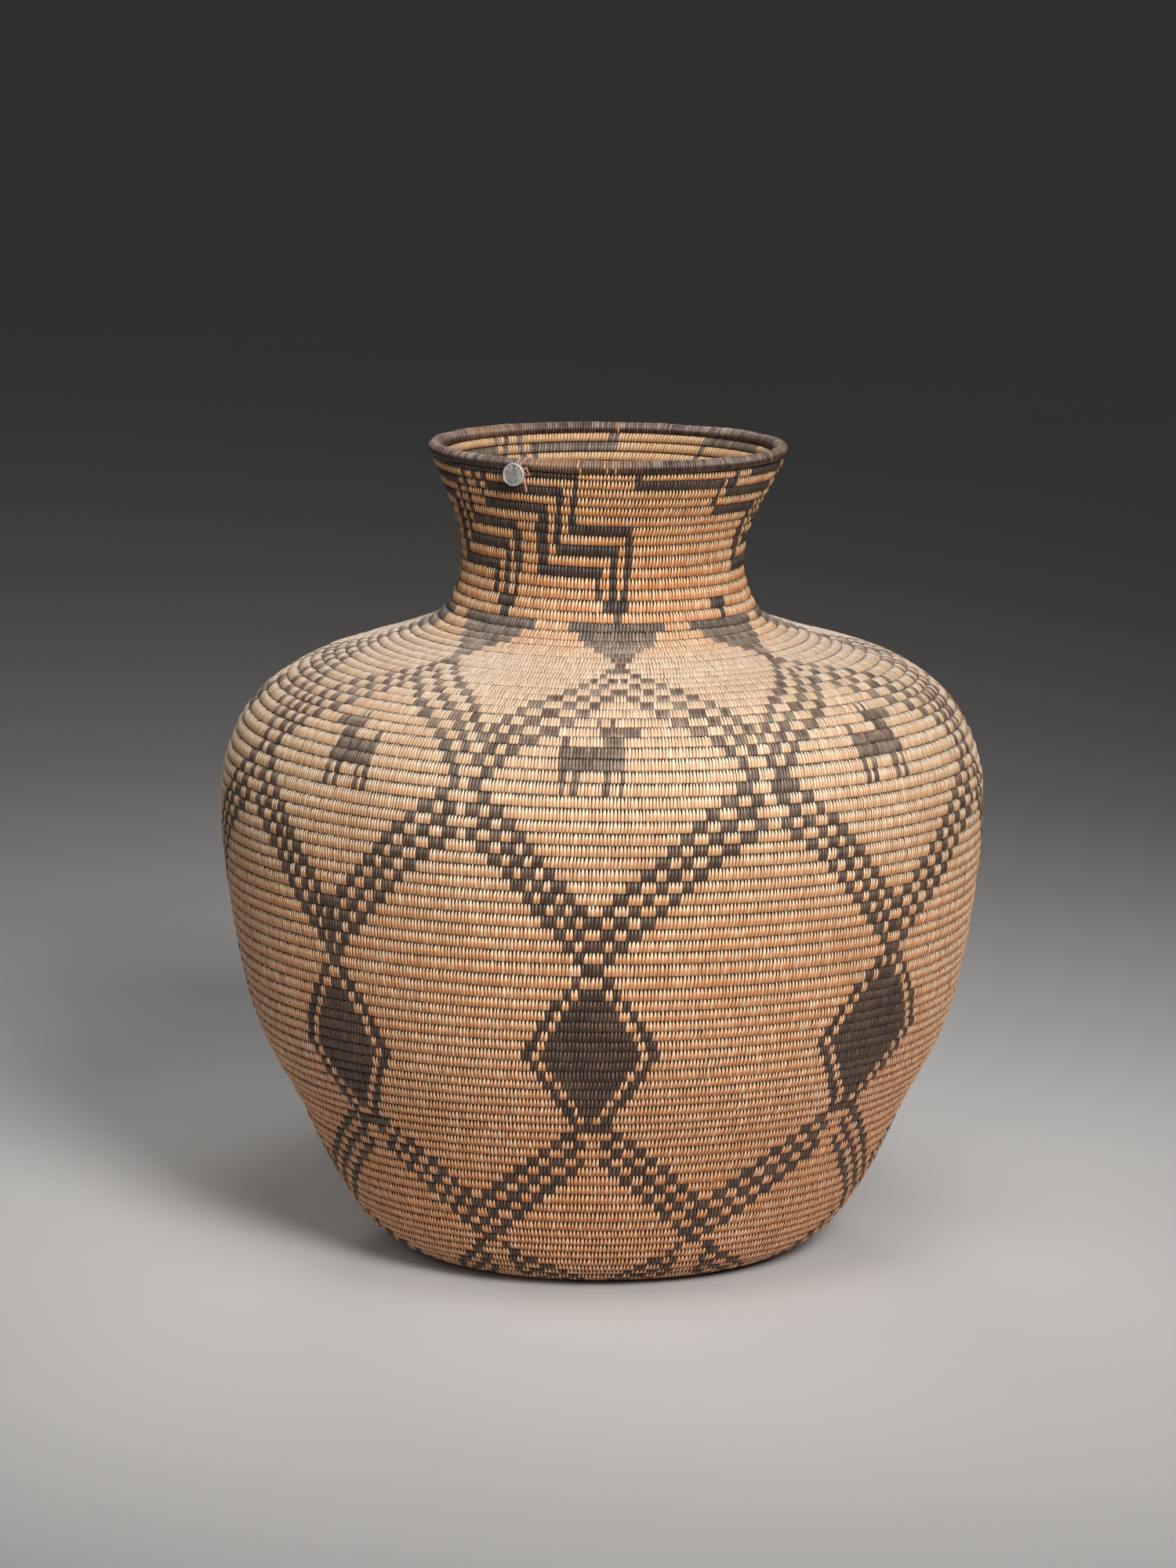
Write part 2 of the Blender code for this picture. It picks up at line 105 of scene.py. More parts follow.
def smooth_line(points):
    """Centripetal curve through points, as the CAD draws it."""
    points = [Vector(point) for point in points]
    first = 2.0 * points[0] - points[1]
    first.y = points[0].y
    guides = [first] + points + [2.0 * points[-1] - points[-2]]
    line = [points[0]]
    for before, start, end, after in zip(guides, guides[1:], guides[2:], guides[3:]):
        t1 = math.sqrt((start - before).length)
        t2 = t1 + math.sqrt((end - start).length)
        t3 = t2 + math.sqrt((after - end).length)
        for step in range(1, CURVE_STEPS + 1):
            t = t1 + (t2 - t1) * step / CURVE_STEPS
            a1 = before.lerp(start, t / t1)
            a2 = start.lerp(end, (t - t1) / (t2 - t1))
            a3 = end.lerp(after, (t - t2) / (t3 - t2))
            b1 = a1.lerp(a2, t / t2)
            b2 = a2.lerp(a3, (t - t1) / (t3 - t1))
            line.append(b1.lerp(b2, (t - t1) / (t2 - t1)))
    return line


class Outline:
    def __init__(self):
        wall = [Vector((r * BELLY_RADIUS, z * RIM_HEIGHT)) for r, z in PROFILE_SHARES]
        line = [Vector((0.0, 0.0))] + smooth_line(wall)
        arcs = np.concatenate(([0.0], np.cumsum([(b - a).length
                                                 for a, b in zip(line, line[1:])])))
        lip = float(arcs[-1])
        self.arcs = np.arange(0.0, lip, OUTLINE_STEP)

        def at(arc):
            return [np.interp(arc, arcs, [point[axis] for point in line])
                    for axis in (0, 1)]

        run_r, run_z = np.subtract(at(np.minimum(self.arcs + WALL, lip)),
                                   at(self.arcs - WALL))
        length = np.hypot(run_r, run_z)
        self.line = (*at(self.arcs), run_z / length, -run_r / length)
        out_r, out_z = self.look_up(lip)[2:]
        self.rim = (line[-1].x - WALL / 2.0 * out_r, line[-1].y - WALL / 2.0 * out_z)

    def look_up(self, arc):
        """Radius, height and both parts of the outward direction at an arc."""
        return [np.interp(arc, self.arcs, values) for values in self.line]

    def place(self, arc, depth):
        """Radius and height at an arc, depth inward from the outer line."""
        radius, height, out_r, out_z = self.look_up(arc)
        return radius - depth * out_r, height - depth * out_z


def ease(value, start, end):
    share = np.clip((value - start) / (end - start), 0.0, 1.0)
    return share * share * (3.0 - 2.0 * share)


def vectors(*parts):
    """Vectors from their parts, each a number or an array."""
    return np.stack(np.broadcast_arrays(*parts), axis=-1)


def to_space(radius, angle, height):
    """Points in the row frame from radius, angle in radians and height, with the lean."""
    x, y = radius * np.sin(angle), -radius * np.cos(angle)
    z = height - LEAN * x * ease(height, LEAN_FROM, LEAN_TO)
    return vectors(x + SHIFT * ease(height, SHIFT_FROM, RIM_HEIGHT), y, z)


OUTLINE = Outline()


class Waves:
    """A smooth wandering value, the same on every run."""

    TERMS = 9

    def __init__(self, size, lowest, highest):
        self.rates = np.exp(rng.uniform(math.log(lowest), math.log(highest), self.TERMS))
        self.phases = rng.uniform(0.0, math.tau, self.TERMS)
        self.sizes = (size / math.sqrt(self.TERMS / 2.0)
                      * rng.uniform(0.6, 1.3, self.TERMS))

    def at(self, turn):
        value = np.zeros_like(turn)
        for rate, phase, size in zip(self.rates, self.phases, self.sizes):
            value += size * np.sin(math.tau * rate * turn + phase)
        return value


EDGE_WANDER = Waves(0.22 * MM, 0.4, 5.0)
CREST_WANDER = Waves(0.16 * MM, 0.6, 7.0)
SLANT = Waves(0.10, 0.3, 3.0)
# The edge is calm for its first turns, wanders more over the next, and calms to the rim
CALM_TURNS, GROWING_TURNS, CALMING_TURNS = 4.0, 12.0, 3.0


def angle_of(turn):
    """Angle in radians of a place on the coil: a turn is whole at the back."""
    return math.pi - math.tau * (turn - np.floor(turn))


def edge(turn):
    """Arc of the coil's edge at a turn, with the dips and wander of the courses."""
    side = np.sin(angle_of(turn))
    dip = (np.interp(turn, EDGE_TURNS, DIP_RIGHT) * side
           + np.interp(turn, EDGE_TURNS, DIP_SIDES) * side * side) * MM
    fade = (np.clip((turn - CALM_TURNS) / GROWING_TURNS, 0.0, 1.0)
            * np.clip((TOP_COURSE - turn) / CALMING_TURNS, 0.0, 1.0))
    return (np.interp(turn, EDGE_TURNS, EDGE_ARCS) * MM - dip
            + EDGE_WANDER.at(turn) * fade)


# ---------------- the woven pattern

RUNS = {}


def run(course, low, high):
    """Dark stitches between two angles; past the back the row goes on one course away."""
    for away, least, most in ((-1, -540.0, -180.0), (0, -180.0, 180.0), (1, 180.0, 540.0)):
        if high > least and low < most:
            RUNS.setdefault(course + away, []).append((max(low, least), min(high, most)))


# One unit of the neck's stepped fret, around its own 0 degrees
FRET = {
    1: ((-55.0, -9.9),),
    2: ((-11.8, -9.9), (-46.6, -44.3), (-51.0, -48.8)),
    3: ((-11.8, -10.2), (-45.3, -14.7), (-49.7, -48.0)),
    4: ((-12.5, -10.4), (-17.7, -15.3), (-48.5, -46.9)),
    5: ((-12.8, -10.8), (-18.2, -16.0), (-48.2, -21.4)),
    6: ((-13.5, -11.2), (-19.0, -16.3), (-25.5, -21.5)),
    7: ((-13.7, 10.9), (-19.0, -16.6), (-26.8, -21.9)),
    8: ((8.3, 11.5), (-19.1, -16.9), (-27.0, -22.0)),
    9: ((8.6, 11.7), (-19.2, 5.9), (-26.6, -22.0)),
    10: ((8.5, 11.5), (3.1, 5.9), (-26.0, -22.2)),
    11: ((8.3, 11.2), (2.4, 5.8), (-26.2, 0.0)),
    12: ((8.3, 10.5), (2.3, 5.3), (-2.9, -0.5)),
    13: ((7.7, 10.1), (2.7, 5.1), (-2.7, -0.5)),
    14: ((0.8, 9.6),),
    15: ((3.9, 7.0),),
}
FRET_PLACES = (0.0, -45.2, -90.4, -135.5, 89.6)


def draw_frets():
    for course, spans in FRET.items():
        for place in FRET_PLACES:
            for low, high in spans:
                if place > 0.0 and course == 1:
                    low = -36.0
                if place not in (-135.5, 89.6) or high > -46.0 or course > 4:
                    run(course, place + low, place + high)
    # what stands where three units are left out
    for course, low, high in ((1, 8.6, 10.9), (1, 45.3, 47.5), (2, 8.5, 41.8),
                              (2, 45.3, 47.5), (3, 39.7, 41.6), (4, 39.2, 41.8),
                              (14, 45.9, 54.5), (15, 50.4, 52.6), (1, 114.0, 143.2),
                              (1, 175.8, 179.1), (2, 142.2, 144.9), (2, 176.4, 180.0),
                              (3, 143.2, 145.5), (14, 135.3, 144.1), (15, 138.4, 141.5),
                              (14, 178.0, 187.0), (15, 181.0, 184.0)):
        run(course, low, high)


# Half widths of the shoulder triangles below the fret, by course
TRIANGLES = {16: 17.4, 17: 13.8, 18: 11.2, 19: 7.5, 20: 4.6, 21: 2.6, 22: 1.3}
TRIANGLE_PLACES = (5.3, -42.4, -88.0, -133.0, -178.5, 138.0, 94.5, 50.6)


def draw_triangles():
    for course, half in TRIANGLES.items():
        for place in TRIANGLE_PLACES:
            run(course, place - half, place + half)


def path_angle(points, course):
    """Angle of an arm at a course, between its points of (course, angle)."""
    rows = [row for row, angle in points]
    return float(np.interp(course, rows, [angle for row, angle in points]))


# Strands in an arm of a zigzag, how many courses apart they follow each other, and the
# least angle of a strand's block on a course
STRANDS, STRAND_STEP, LEAST_BLOCK = 3, 2, 1.9


def draw_arm(points):
    """One strand of a zigzag: a block on each course that starts where the last ended."""
    first, last = int(math.ceil(points[0][0])), int(math.floor(points[-1][0]))
    for course in range(first, last + 1):
        above = path_angle(points, max(course - 0.5, points[0][0]))
        below = path_angle(points, min(course + 0.5, points[-1][0]))
        low, high = min(above, below), max(above, below)
        spare = max(0.0, LEAST_BLOCK - (high - low)) / 2.0
        run(course, low - spare, high + spare)


def draw_strands(points, drift=0.0):
    """An arm of a zigzag, woven as strands, each drifting on from the one above it."""
    for strand in range(STRANDS):
        draw_arm([(course + STRAND_STEP * strand, angle + drift * strand)
                  for course, angle in points])


def bend(top, bottom, bends):
    """An arm's points from a peak (course, angle) to a valley, through shares of both."""
    return [(top[0] + share * (bottom[0] - top[0]), top[1] + reach * (bottom[1] - top[1]))
            for share, reach in bends]


# How the arms of each band run, as (share of the courses, share of the angle)
FIRST_LEFT = ((0.0, 0.05), (0.1, 0.15), (0.2, 0.23), (0.4, 0.43), (0.6, 0.70), (0.7, 0.79),
              (0.9, 0.92), (1.0, 1.0))
FIRST_RIGHT = ((0.0, 0.06), (0.11, 0.20), (0.33, 0.41), (0.56, 0.69), (0.67, 0.80),
               (0.89, 0.94), (1.0, 1.0))
SECOND = ((0.0, 0.06), (0.08, 0.15), (0.17, 0.27), (0.33, 0.43), (0.50, 0.57),
          (0.67, 0.72), (0.83, 0.86), (1.0, 1.0))
THIRD = ((0.0, 0.08), (0.11, 0.18), (0.56, 0.58), (0.78, 0.78), (1.0, 1.0))
LAST = ((0.0, 0.13), (0.14, 0.20), (0.29, 0.36), (0.57, 0.66), (0.86, 0.80), (1.0, 0.9))

ZIG1_PEAKS = (3.8, -42.0, -88.0, -133.0, -178.5, 138.0, 94.5, 49.8)
ZIG1_VALLEYS = (-20.6, -64.0, -110.5, -155.7, 160.0, 117.0, 75.5, 25.7)
ZIG2_VALLEYS = (-1.5, -44.4, -89.5, -134.0, -179.0, 137.5, 94.0, 48.8)
ZIG3_PEAKS = (-1.6, -45.4, -90.5, -135.0, 180.0, 136.5, 92.0, 46.4)
ZIG3_VALLEYS = (-25.3, -73.0, -114.0, -158.0, 158.5, 114.5, 69.5, 20.5)


def near(angle, other):
    """The other angle, written within half a turn of the first."""
    return other + 360.0 * round((angle - other) / 360.0)


def draw_zigzags():
    for number in range(8):
        after = (number + 1) % 8
        peak = ZIG1_PEAKS[number]
        left = near(peak, ZIG1_VALLEYS[number])
        right = near(peak, ZIG1_VALLEYS[number - 1])
        draw_strands(bend((23, peak), (33.4, left), FIRST_LEFT), drift=0.25)
        draw_strands(bend((23, peak), (32.4, right), FIRST_RIGHT), drift=-0.9)
        run(23, peak - 2.6, peak + 3.0)
        # second band hangs from the first one's valleys, and starts a course higher on
        # the right of the front
        top = (36 if number == 7 else 37, left)
        foot = 49 if number in (0, 1) else 48.3
        draw_strands(bend(top, (48.3, near(left, ZIG2_VALLEYS[number])), SECOND))
        draw_strands(bend(top, (foot, near(left, ZIG2_VALLEYS[after])), SECOND))
        # third band, from the foot of the diamonds, and the last one below its valleys
        peak = ZIG3_PEAKS[number]
        for valley in (ZIG3_VALLEYS[number], ZIG3_VALLEYS[number - 1]):
            draw_strands(bend((68, peak), (77, near(peak, valley)), THIRD))
        low_peak = near(peak, ZIG3_VALLEYS[number])
        for place in (peak, ZIG3_PEAKS[after]):
            draw_strands(bend((82, low_peak), (89, near(low_peak, place)), LAST))


# Half width of a diamond's outline by course, and how large each diamond is
DIAMOND_ROWS = (52, 53, 55, 57, 60, 67, 69.0)
DIAMOND_HALVES = (0.8, 2.3, 5.3, 7.5, 9.9, 2.7, 0.4)
DIAMOND_SIZES = (1.0, 0.88, 0.95, 1.0, 1.0, 0.95, 1.0, 1.1)


def draw_diamonds():
    for number, place in enumerate(ZIG2_VALLEYS):
        end = near(place, ZIG3_PEAKS[number]) - 0.5
        late = 1 if number == 1 else 0
        for course in range(53 + late, 69 + late):
            half = float(np.interp(course - late, DIAMOND_ROWS, DIAMOND_HALVES))
            half *= DIAMOND_SIZES[number]
            middle = place + (end - place) * (course - 53) / 16.0
            for side in (-1.0, 1.0):
                centre = middle + side * half
                run(course, centre - 0.75, centre + 0.75)
            core = half - 2.0
            if core > 0.5:
                run(course, middle - core, middle + core)
        run(68 + late, end - 3.0, end + 3.0)


# A small four-legged animal that faces right, around its own 0 degrees, from its ears
ANIMAL = (
    ((-0.5, 0.1), (1.4, 2.0)),
    ((-0.6, 6.6),),
    ((0.0, 3.5), (-6.3, -5.5)),
    ((-6.7, 3.6),),
    ((-6.7, 3.6),),
    ((-6.6, -5.5), (-4.4, -3.3), (0.2, 1.5), (2.6, 3.4)),
    ((-6.4, -5.5), (-4.9, -3.9), (0.1, 1.1), (2.4, 3.3)),
)
# Place, course of the ears, 1 for facing right or -1 for facing left, and length
ANIMALS = ((0.0, 31, 1, 1.0), (-43.6, 32, -1, 0.87), (-88.0, 31, 1, 1.0),
           (-134.0, 31, 1, 0.95), (179.0, 32, -1, 1.0), (137.0, 31, 1, 1.0),
           (93.5, 31, 1, 0.95), (50.2, 31, 1, 1.0))


def draw_animals():
    for place, top, facing, size in ANIMALS:
        for row, spans in enumerate(ANIMAL):
            for low, high in spans:
                ends = (place + facing * size * low, place + facing * size * high)
                run(top + row, min(ends), max(ends))


draw_frets()
draw_triangles()
draw_zigzags()
draw_diamonds()
draw_animals()


def is_dark(course, angle):
    """Whether stitches are dark, from their course and their angle in degrees."""
    dark = np.zeros(len(course), bool)
    for number in np.unique(course):
        for low, high in RUNS.get(int(number), ()):
            dark |= (course == number) & ((angle - low) % 360.0 < high - low)
    return dark


# ---------------- meshes

def grid_quads(rows, columns, wrap_rows=False, wrap_columns=False, shift=0):
    """Quads of a grid of points; the last row may meet the first, shift columns on."""
    index = np.arange(rows * columns).reshape(rows, columns)
    after = np.roll(index, -1, axis=0)
    after[-1] = np.roll(index[0], -shift)
    right, right_after = np.roll(index, -1, axis=1), np.roll(after, -1, axis=1)
    quads = vectors(index, right, right_after, after)
    return quads[:rows if wrap_rows else rows - 1,
                 :columns if wrap_columns else columns - 1].reshape(-1, 4)


def build_mesh(name, points, quads, caps=()):
    """A smooth mesh from points, quads, and caps that are each one many-sided face."""
    points = np.asarray(points, np.float32).reshape(-1, 3)
    corners = np.concatenate([quads.ravel(), *caps])
    starts = np.concatenate((np.arange(len(quads)) * 4,
                             quads.size + np.cumsum([0] + [len(cap) for cap in caps])[:-1]))
    mesh = bpy.data.meshes.new(name)
    mesh.vertices.add(len(points))
    mesh.vertices.foreach_set("co", points.ravel())
    mesh.loops.add(len(corners))
    mesh.loops.foreach_set("vertex_index", corners.astype(np.int32))
    mesh.polygons.add(len(starts))
    mesh.polygons.foreach_set("loop_start", starts.astype(np.int32))
    mesh.update(calc_edges=True)
    mesh.shade_smooth()
    return mesh


def close_mesh(mesh, merge=0.0, fill=False):
    """Merge near points or fill the open ends, and turn all faces outward."""
    shape = bmesh.new()
    shape.from_mesh(mesh)
    if merge:
        bmesh.ops.remove_doubles(shape, verts=shape.verts, dist=merge)
    if fill:
        bmesh.ops.holes_fill(shape, edges=shape.edges, sides=0)
    bmesh.ops.recalc_face_normals(shape, faces=shape.faces)
    shape.to_mesh(mesh)
    shape.free()
    mesh.shade_smooth()


def set_points(mesh, name, values):
    """A vector at every point of a mesh, for its material."""
    layer = mesh.attributes.new(name, "FLOAT_VECTOR", "POINT")
    layer.data.foreach_set("vector", np.asarray(values, np.float32).ravel())


def set_stitches(mesh, values):
    """Four values on every face of a mesh: its stitch's own, for the material."""
    layer = mesh.attributes.new("stitch", "FLOAT_COLOR", "FACE")
    layer.data.foreach_set("color", np.asarray(values, np.float32).ravel())


def crease_gaps(mesh, columns):
    """Mark the edges that run along the gaps as sharp, so each stitch shades as round."""
    ends = np.empty(2 * len(mesh.edges), np.int32)
    mesh.edges.foreach_get("vertices", ends)
    in_gap = (ends.reshape(-1, 2) % columns % 3 == 0).all(axis=1)
    layer = mesh.attributes.new("sharp_edge", "BOOLEAN", "EDGE")
    layer.data.foreach_set("value", in_gap)


def weave(columns, gaps, left, right):
    """A value for each column: at a gap, then at both shoulders of the stitch after it."""
    line = np.zeros(columns)
    line[0::3], line[1::3], line[2::3] = gaps, left, right
    return line


def run_lengths(path):
    """How far along a path each of its points is."""
    steps = np.linalg.norm(np.diff(path, axis=0), axis=1)
    return np.concatenate(([0.0], np.cumsum(steps)))


# ---------------- the stitched coil

# Every stitch differs: how deep its crest is sunk in mm, and, as shares of its pitch or
# of the course's height, its width, height, slant and the place of the gap before it
COIL_SEED = 4000
STITCH_SUNK = (0.0, 0.28)
STITCH_SLIM = (0.74, 1.14)
STITCH_TALL = (-0.07, 0.04)
SLANT_SPREAD = 0.09
GAP_SPREAD = 0.13
# Lean of the stitches to the right at their tops, as a share of their pitch
MEAN_SLANT = 0.24
INNER_SLANT = -0.55
# Stitches are fuller on the shoulder and belly, by course from the rim
PLUMP_COURSES = (0, 12, 18, 50, 75, 103)
PLUMPNESS = (0.0, 0.0, 0.05, 0.04, 0.02, 0.02)
# A crest's half width stays under this share of the pitch, so a gap is always left, and
# rows narrower than the other share are pinched, so they don't get fuller
WIDEST_HALF, PINCHED_HALF = 0.46, 0.1
# Rows above this share of the course's height move up or down with a stitch's height
TALL_FROM = 0.8
# A course's crest lies this deep in the wall, give or take its wander
CREST_DEPTH = 0.12 * MM
# A course with less room than this along the wall is pressed flat
FULL_ROOM = 4.2 * MM
# Stitches are spaced as on this radius where the coil is tighter
LEAST_RADIUS = 6.0 * MM
# The inside is ribbed from this course up, where it can be seen
RIBBED_INSIDE_FROM = 89
# The baked layout has this many columns in each lane for every lane, and this margin
BAKE_SHAPE, BAKE_MARGIN = 24.0, 0.04
# Where in its first turn the coil starts, and how many places a turn is measured at
COIL_START, TURN_PLACES = 0.02, 720.0

# Rows of one stitch up the outside, then down the inside: share of the course's height,
# share of the groove's depth, half width of the stitch's crest as a share of its pitch,
# and depth of the gap beside it in mm. A stitch is plump, and narrower at both ends
OUTER_ROWS = (
    (-0.08, 0.72, 0.29, 0.28), (0.05, 0.32, 0.39, 0.38), (0.26, 0.06, 0.40, 0.55),
    (0.50, 0.00, 0.36, 0.80), (0.70, 0.08, 0.26, 1.10), (0.86, 0.34, 0.14, 1.30),
    (0.98, 0.88, 0.02, 0.70),
)
INNER_ROWS = (
    (1.00, 1.00, 0.10, 0.15), (0.84, 0.30, 0.27, 0.60), (0.50, 0.00, 0.38, 0.45),
    (0.16, 0.26, 0.41, 0.35), (0.00, 1.00, 0.28, 0.15),
)
PLAIN_INNER_ROWS = (INNER_ROWS[0], INNER_ROWS[2], INNER_ROWS[4])


def stitch_places():
    """Turn counts of the gaps between stitches all along the coil."""
    turns = np.arange(COIL_START, TOP_COURSE + 0.0001, 1.0 / TURN_PLACES)
    arcs = np.interp(turns + 0.5, EDGE_TURNS, EDGE_ARCS) * MM
    radius = OUTLINE.look_up(arcs)[0]
    pitch = np.interp(TOP_COURSE - turns, PITCH_COURSES, PITCHES) * MM
    rate = math.tau * np.maximum(radius, LEAST_RADIUS) / pitch
    count = np.concatenate(([0.0], np.cumsum((rate[1:] + rate[:-1]) / 2.0
                                             * np.diff(turns))))
    whole = int(count[-1])
    marks = np.arange(whole + 1) * (count[-1] / whole)
    marks[1:-1] += rng.uniform(-GAP_SPREAD, GAP_SPREAD, whole - 1)
    return np.interp(marks, count, turns)


GAPS = stitch_places()
WIDTHS = np.gradient(GAPS)


def coil_mesh(name, first_turn, last_turn, inner_rows):
    """A closed length of the stitched coil between two turn counts."""
    low = int(np.searchsorted(GAPS, first_turn))
    high = min(int(np.searchsorted(GAPS, last_turn)), len(GAPS) - 1)
    gaps = GAPS[low:high + 1]
    stitches = len(gaps) - 1
    seeds = np.random.default_rng(COIL_SEED + low)
    middle = (gaps[:-1] + gaps[1:]) / 2.0
    width = np.diff(gaps)
    sunk = seeds.uniform(*STITCH_SUNK, stitches) * MM
    slim = seeds.uniform(*STITCH_SLIM, stitches)
    slant = seeds.normal(0.0, SLANT_SPREAD, stitches)
    tall = seeds.uniform(*STITCH_TALL, stitches)
    from_rim = TOP_COURSE - np.floor(middle).astype(int)
    plump = np.interp(from_rim, PLUMP_COURSES, PLUMPNESS)
    dark = is_dark(from_rim, np.degrees(angle_of(middle)))

    rows = [(*row, 1.0) for row in OUTER_ROWS] + [(*row, -1.0) for row in inner_rows]
    columns = 3 * stitches + 1
    points = []
    for rise, groove, half, gap, face in rows:
        tilt = (MEAN_SLANT if face > 0.0 else INNER_SLANT) * (rise - 0.5)
        lean = (tilt + (SLANT.at(middle) + slant) * (rise - 0.5)) * width
        fuller = plump if half > PINCHED_HALF else 0.0
        wide = np.clip((half + fuller) * slim, 0.0, WIDEST_HALF) * width
        turn = weave(columns, gaps - (tilt + SLANT.at(gaps) * (rise - 0.5))
                     * WIDTHS[low:high + 1], middle - wide - lean, middle + wide - lean)
        sink = weave(columns, gap * MM, sunk, sunk)
        share = rise
        if rise > TALL_FROM and face > 0.0:
            share = rise + weave(columns, 0.0, tall, tall)
        lower = edge(turn)
        room = edge(turn + 1.0) - lower
        # a course that is squeezed under the rim sinks into the wall
        fat = np.clip(room / FULL_ROOM, 0.0, 1.0)
        crest = np.maximum(0.0, CREST_WANDER.at(turn) + CREST_DEPTH)
        if face > 0.0:
            depth = (GROOVE * (groove * fat + 1.0 - fat)
                     + (sink + crest) * (1.0 - 0.5 * groove))
        else:
            depth = WALL - (GROOVE * (groove * fat + (1.0 - fat) * 2.0) + sink + crest)
        radius, height = OUTLINE.place(lower + share * room, np.clip(depth, 0.0, WALL))
        points.append(to_space(radius, angle_of(turn), height))
    quads = grid_quads(len(rows), columns, wrap_rows=True)[:, ::-1]
    first = np.arange(len(rows)) * columns
    mesh = build_mesh(name, points, quads, (first, first[::-1] + columns - 1))
    crease_gaps(mesh, columns)

    # per stitch: dark, two random values and the course from the rim; per point: the
    # gap, the groove and the rise, and how far along and up the stitch it lies
    luck = seeds.uniform(0.0, 1.0, (stitches, 2))
    tint = np.column_stack((dark, luck, from_rim / (TOP_COURSE + 1.0)))
    stitch_of = np.tile(np.repeat(np.arange(stitches), 3), len(rows))
    set_stitches(mesh, np.concatenate((tint[stitch_of], tint[[0, -1]])))
    rise, groove, face = np.array(rows)[:, (0, 1, 4)].T[:, :, None]
    place = np.arange(columns)
    set_points(mesh, "gap", vectors(place % 3 == 0, groove, np.abs(rise)))
    set_points(mesh, "fibre", vectors(place / 3.0, rise * face, 0.0))
    bake_layout(mesh, len(rows), columns)
    return mesh


def bake_layout(mesh, row_count, columns):
    """UV rows that lay the coil out in equal lengths, one under another."""
    cells = columns - 1
    lanes = max(1, int(round(math.sqrt(cells / BAKE_SHAPE))))
    per_lane = math.ceil(cells / lanes)
    lane, start = np.divmod(np.arange(cells), per_lane)
    row = np.arange(row_count)[:, None]
    used = 1 - 2 * BAKE_MARGIN
    low = (lane + BAKE_MARGIN + used * row / row_count) / lanes
    high = (lane + BAKE_MARGIN + used * (row + 1) / row_count) / lanes
    left, right = start / per_lane, (start + 1) / per_lane
    # corner order of a quad is (next row left, next row right, right, left)
    uv = vectors(left, high, right, high, right, low, left, low)
    caps = np.zeros(4 * row_count)
    layer = mesh.uv_layers.new(name="OFBake")
    layer.data.foreach_set("uv", np.concatenate((uv.ravel(), caps)).astype(np.float32))


# ---------------- materials

def srgb(red, green, blue):
    """A colour written as 0 to 255, as the shader wants it."""
    def linear(value):
        value /= 255.0
        return value / 12.92 if value <= 0.04045 else ((value + 0.055) / 1.055) ** 2.4
    return (linear(red), linear(green), linear(blue), 1.0)


class Nodes:
    """A material's nodes, added and joined in one line each."""

    def __init__(self, name):
        self.material = bpy.data.materials.new(name)
        self.material.use_nodes = True
        self.tree = self.material.node_tree
        self.shader = self.tree.nodes["Principled BSDF"]

    def add(self, kind, **settings):
        node = self.tree.nodes.new("ShaderNode" + kind)
        for key, value in settings.items():
            setattr(node, key, value)
        return node

    def put(self, socket, value):
        """Join an output to an input, or set its value; three numbers are 0 to 255."""
        if isinstance(value, bpy.types.NodeSocket):
            self.tree.links.new(value, socket)
        elif isinstance(value, tuple) and len(value) == 3:
            socket.default_value = srgb(*value)
        else:
            socket.default_value = value

    def shade(self, name, value):
        """Join or set an input of the shader itself."""
        self.put(self.shader.inputs[name], value)

    def attribute(self, name):
        return self.add("Attribute", attribute_name=name)

    def place(self):
        return self.add("TexCoord").outputs["Object"]

    def separate(self, kind, value):
        node = self.add("Separate" + kind)
        self.put(node.inputs[0], value)
        return node.outputs

    def stretch(self, value, factors):
        node = self.add("VectorMath", operation="MULTIPLY")
        self.put(node.inputs[0], value)
        node.inputs[1].default_value = factors
        return node.outputs[0]

    def math(self, operation, a, b):
        node = self.add("Math", operation=operation)
        self.put(node.inputs[0], a)
        self.put(node.inputs[1], b)
        return node.outputs[0]

    def mix(self, share, a, b):
        node = self.add("Mix", data_type="RGBA")
        for number, value in ((0, share), (6, a), (7, b)):
            self.put(node.inputs[number], value)
        return node.outputs[2]

    def cover(self, below, above, value, low, high, most):
        """One colour over another: none of it at a low value, its most at a high one."""
        return self.mix(self.range(value, low, high, 0.0, most), below, above)

    def ramp(self, value, stops):
        node = self.add("ValToRGB")
        ramp = node.color_ramp
        while len(ramp.elements) < len(stops):
            ramp.elements.new(0.5)
        for element, (place, *colour) in zip(ramp.elements, stops):
            element.position = place
            element.color = srgb(*colour)
        self.put(node.inputs[0], value)
        return node.outputs[0]

    def range(self, value, low, high, to_low=0.0, to_high=1.0, smooth=False):
        node = self.add("MapRange", interpolation_type="SMOOTHSTEP" if smooth else "LINEAR")
        for socket, item in zip(node.inputs, (value, low, high, to_low, to_high)):
            self.put(socket, item)
        return node.outputs[0]

    def noise(self, place, scale, detail, rough):
        node = self.add("TexNoise")
        for name, value in (("Vector", place), ("Scale", scale), ("Detail", detail),
                            ("Roughness", rough)):
            self.put(node.inputs[name], value)
        return node.outputs["Fac"]

    def bump(self, height, strength, distance):
        """Raise the surface by a height of 0 to 1, at most by a distance in mm."""
        node = self.add("Bump")
        for name, value in (("Strength", strength), ("Distance", distance * MM),
                            ("Height", height)):
            self.put(node.inputs[name], value)
        self.shade("Normal", node.outputs[0])


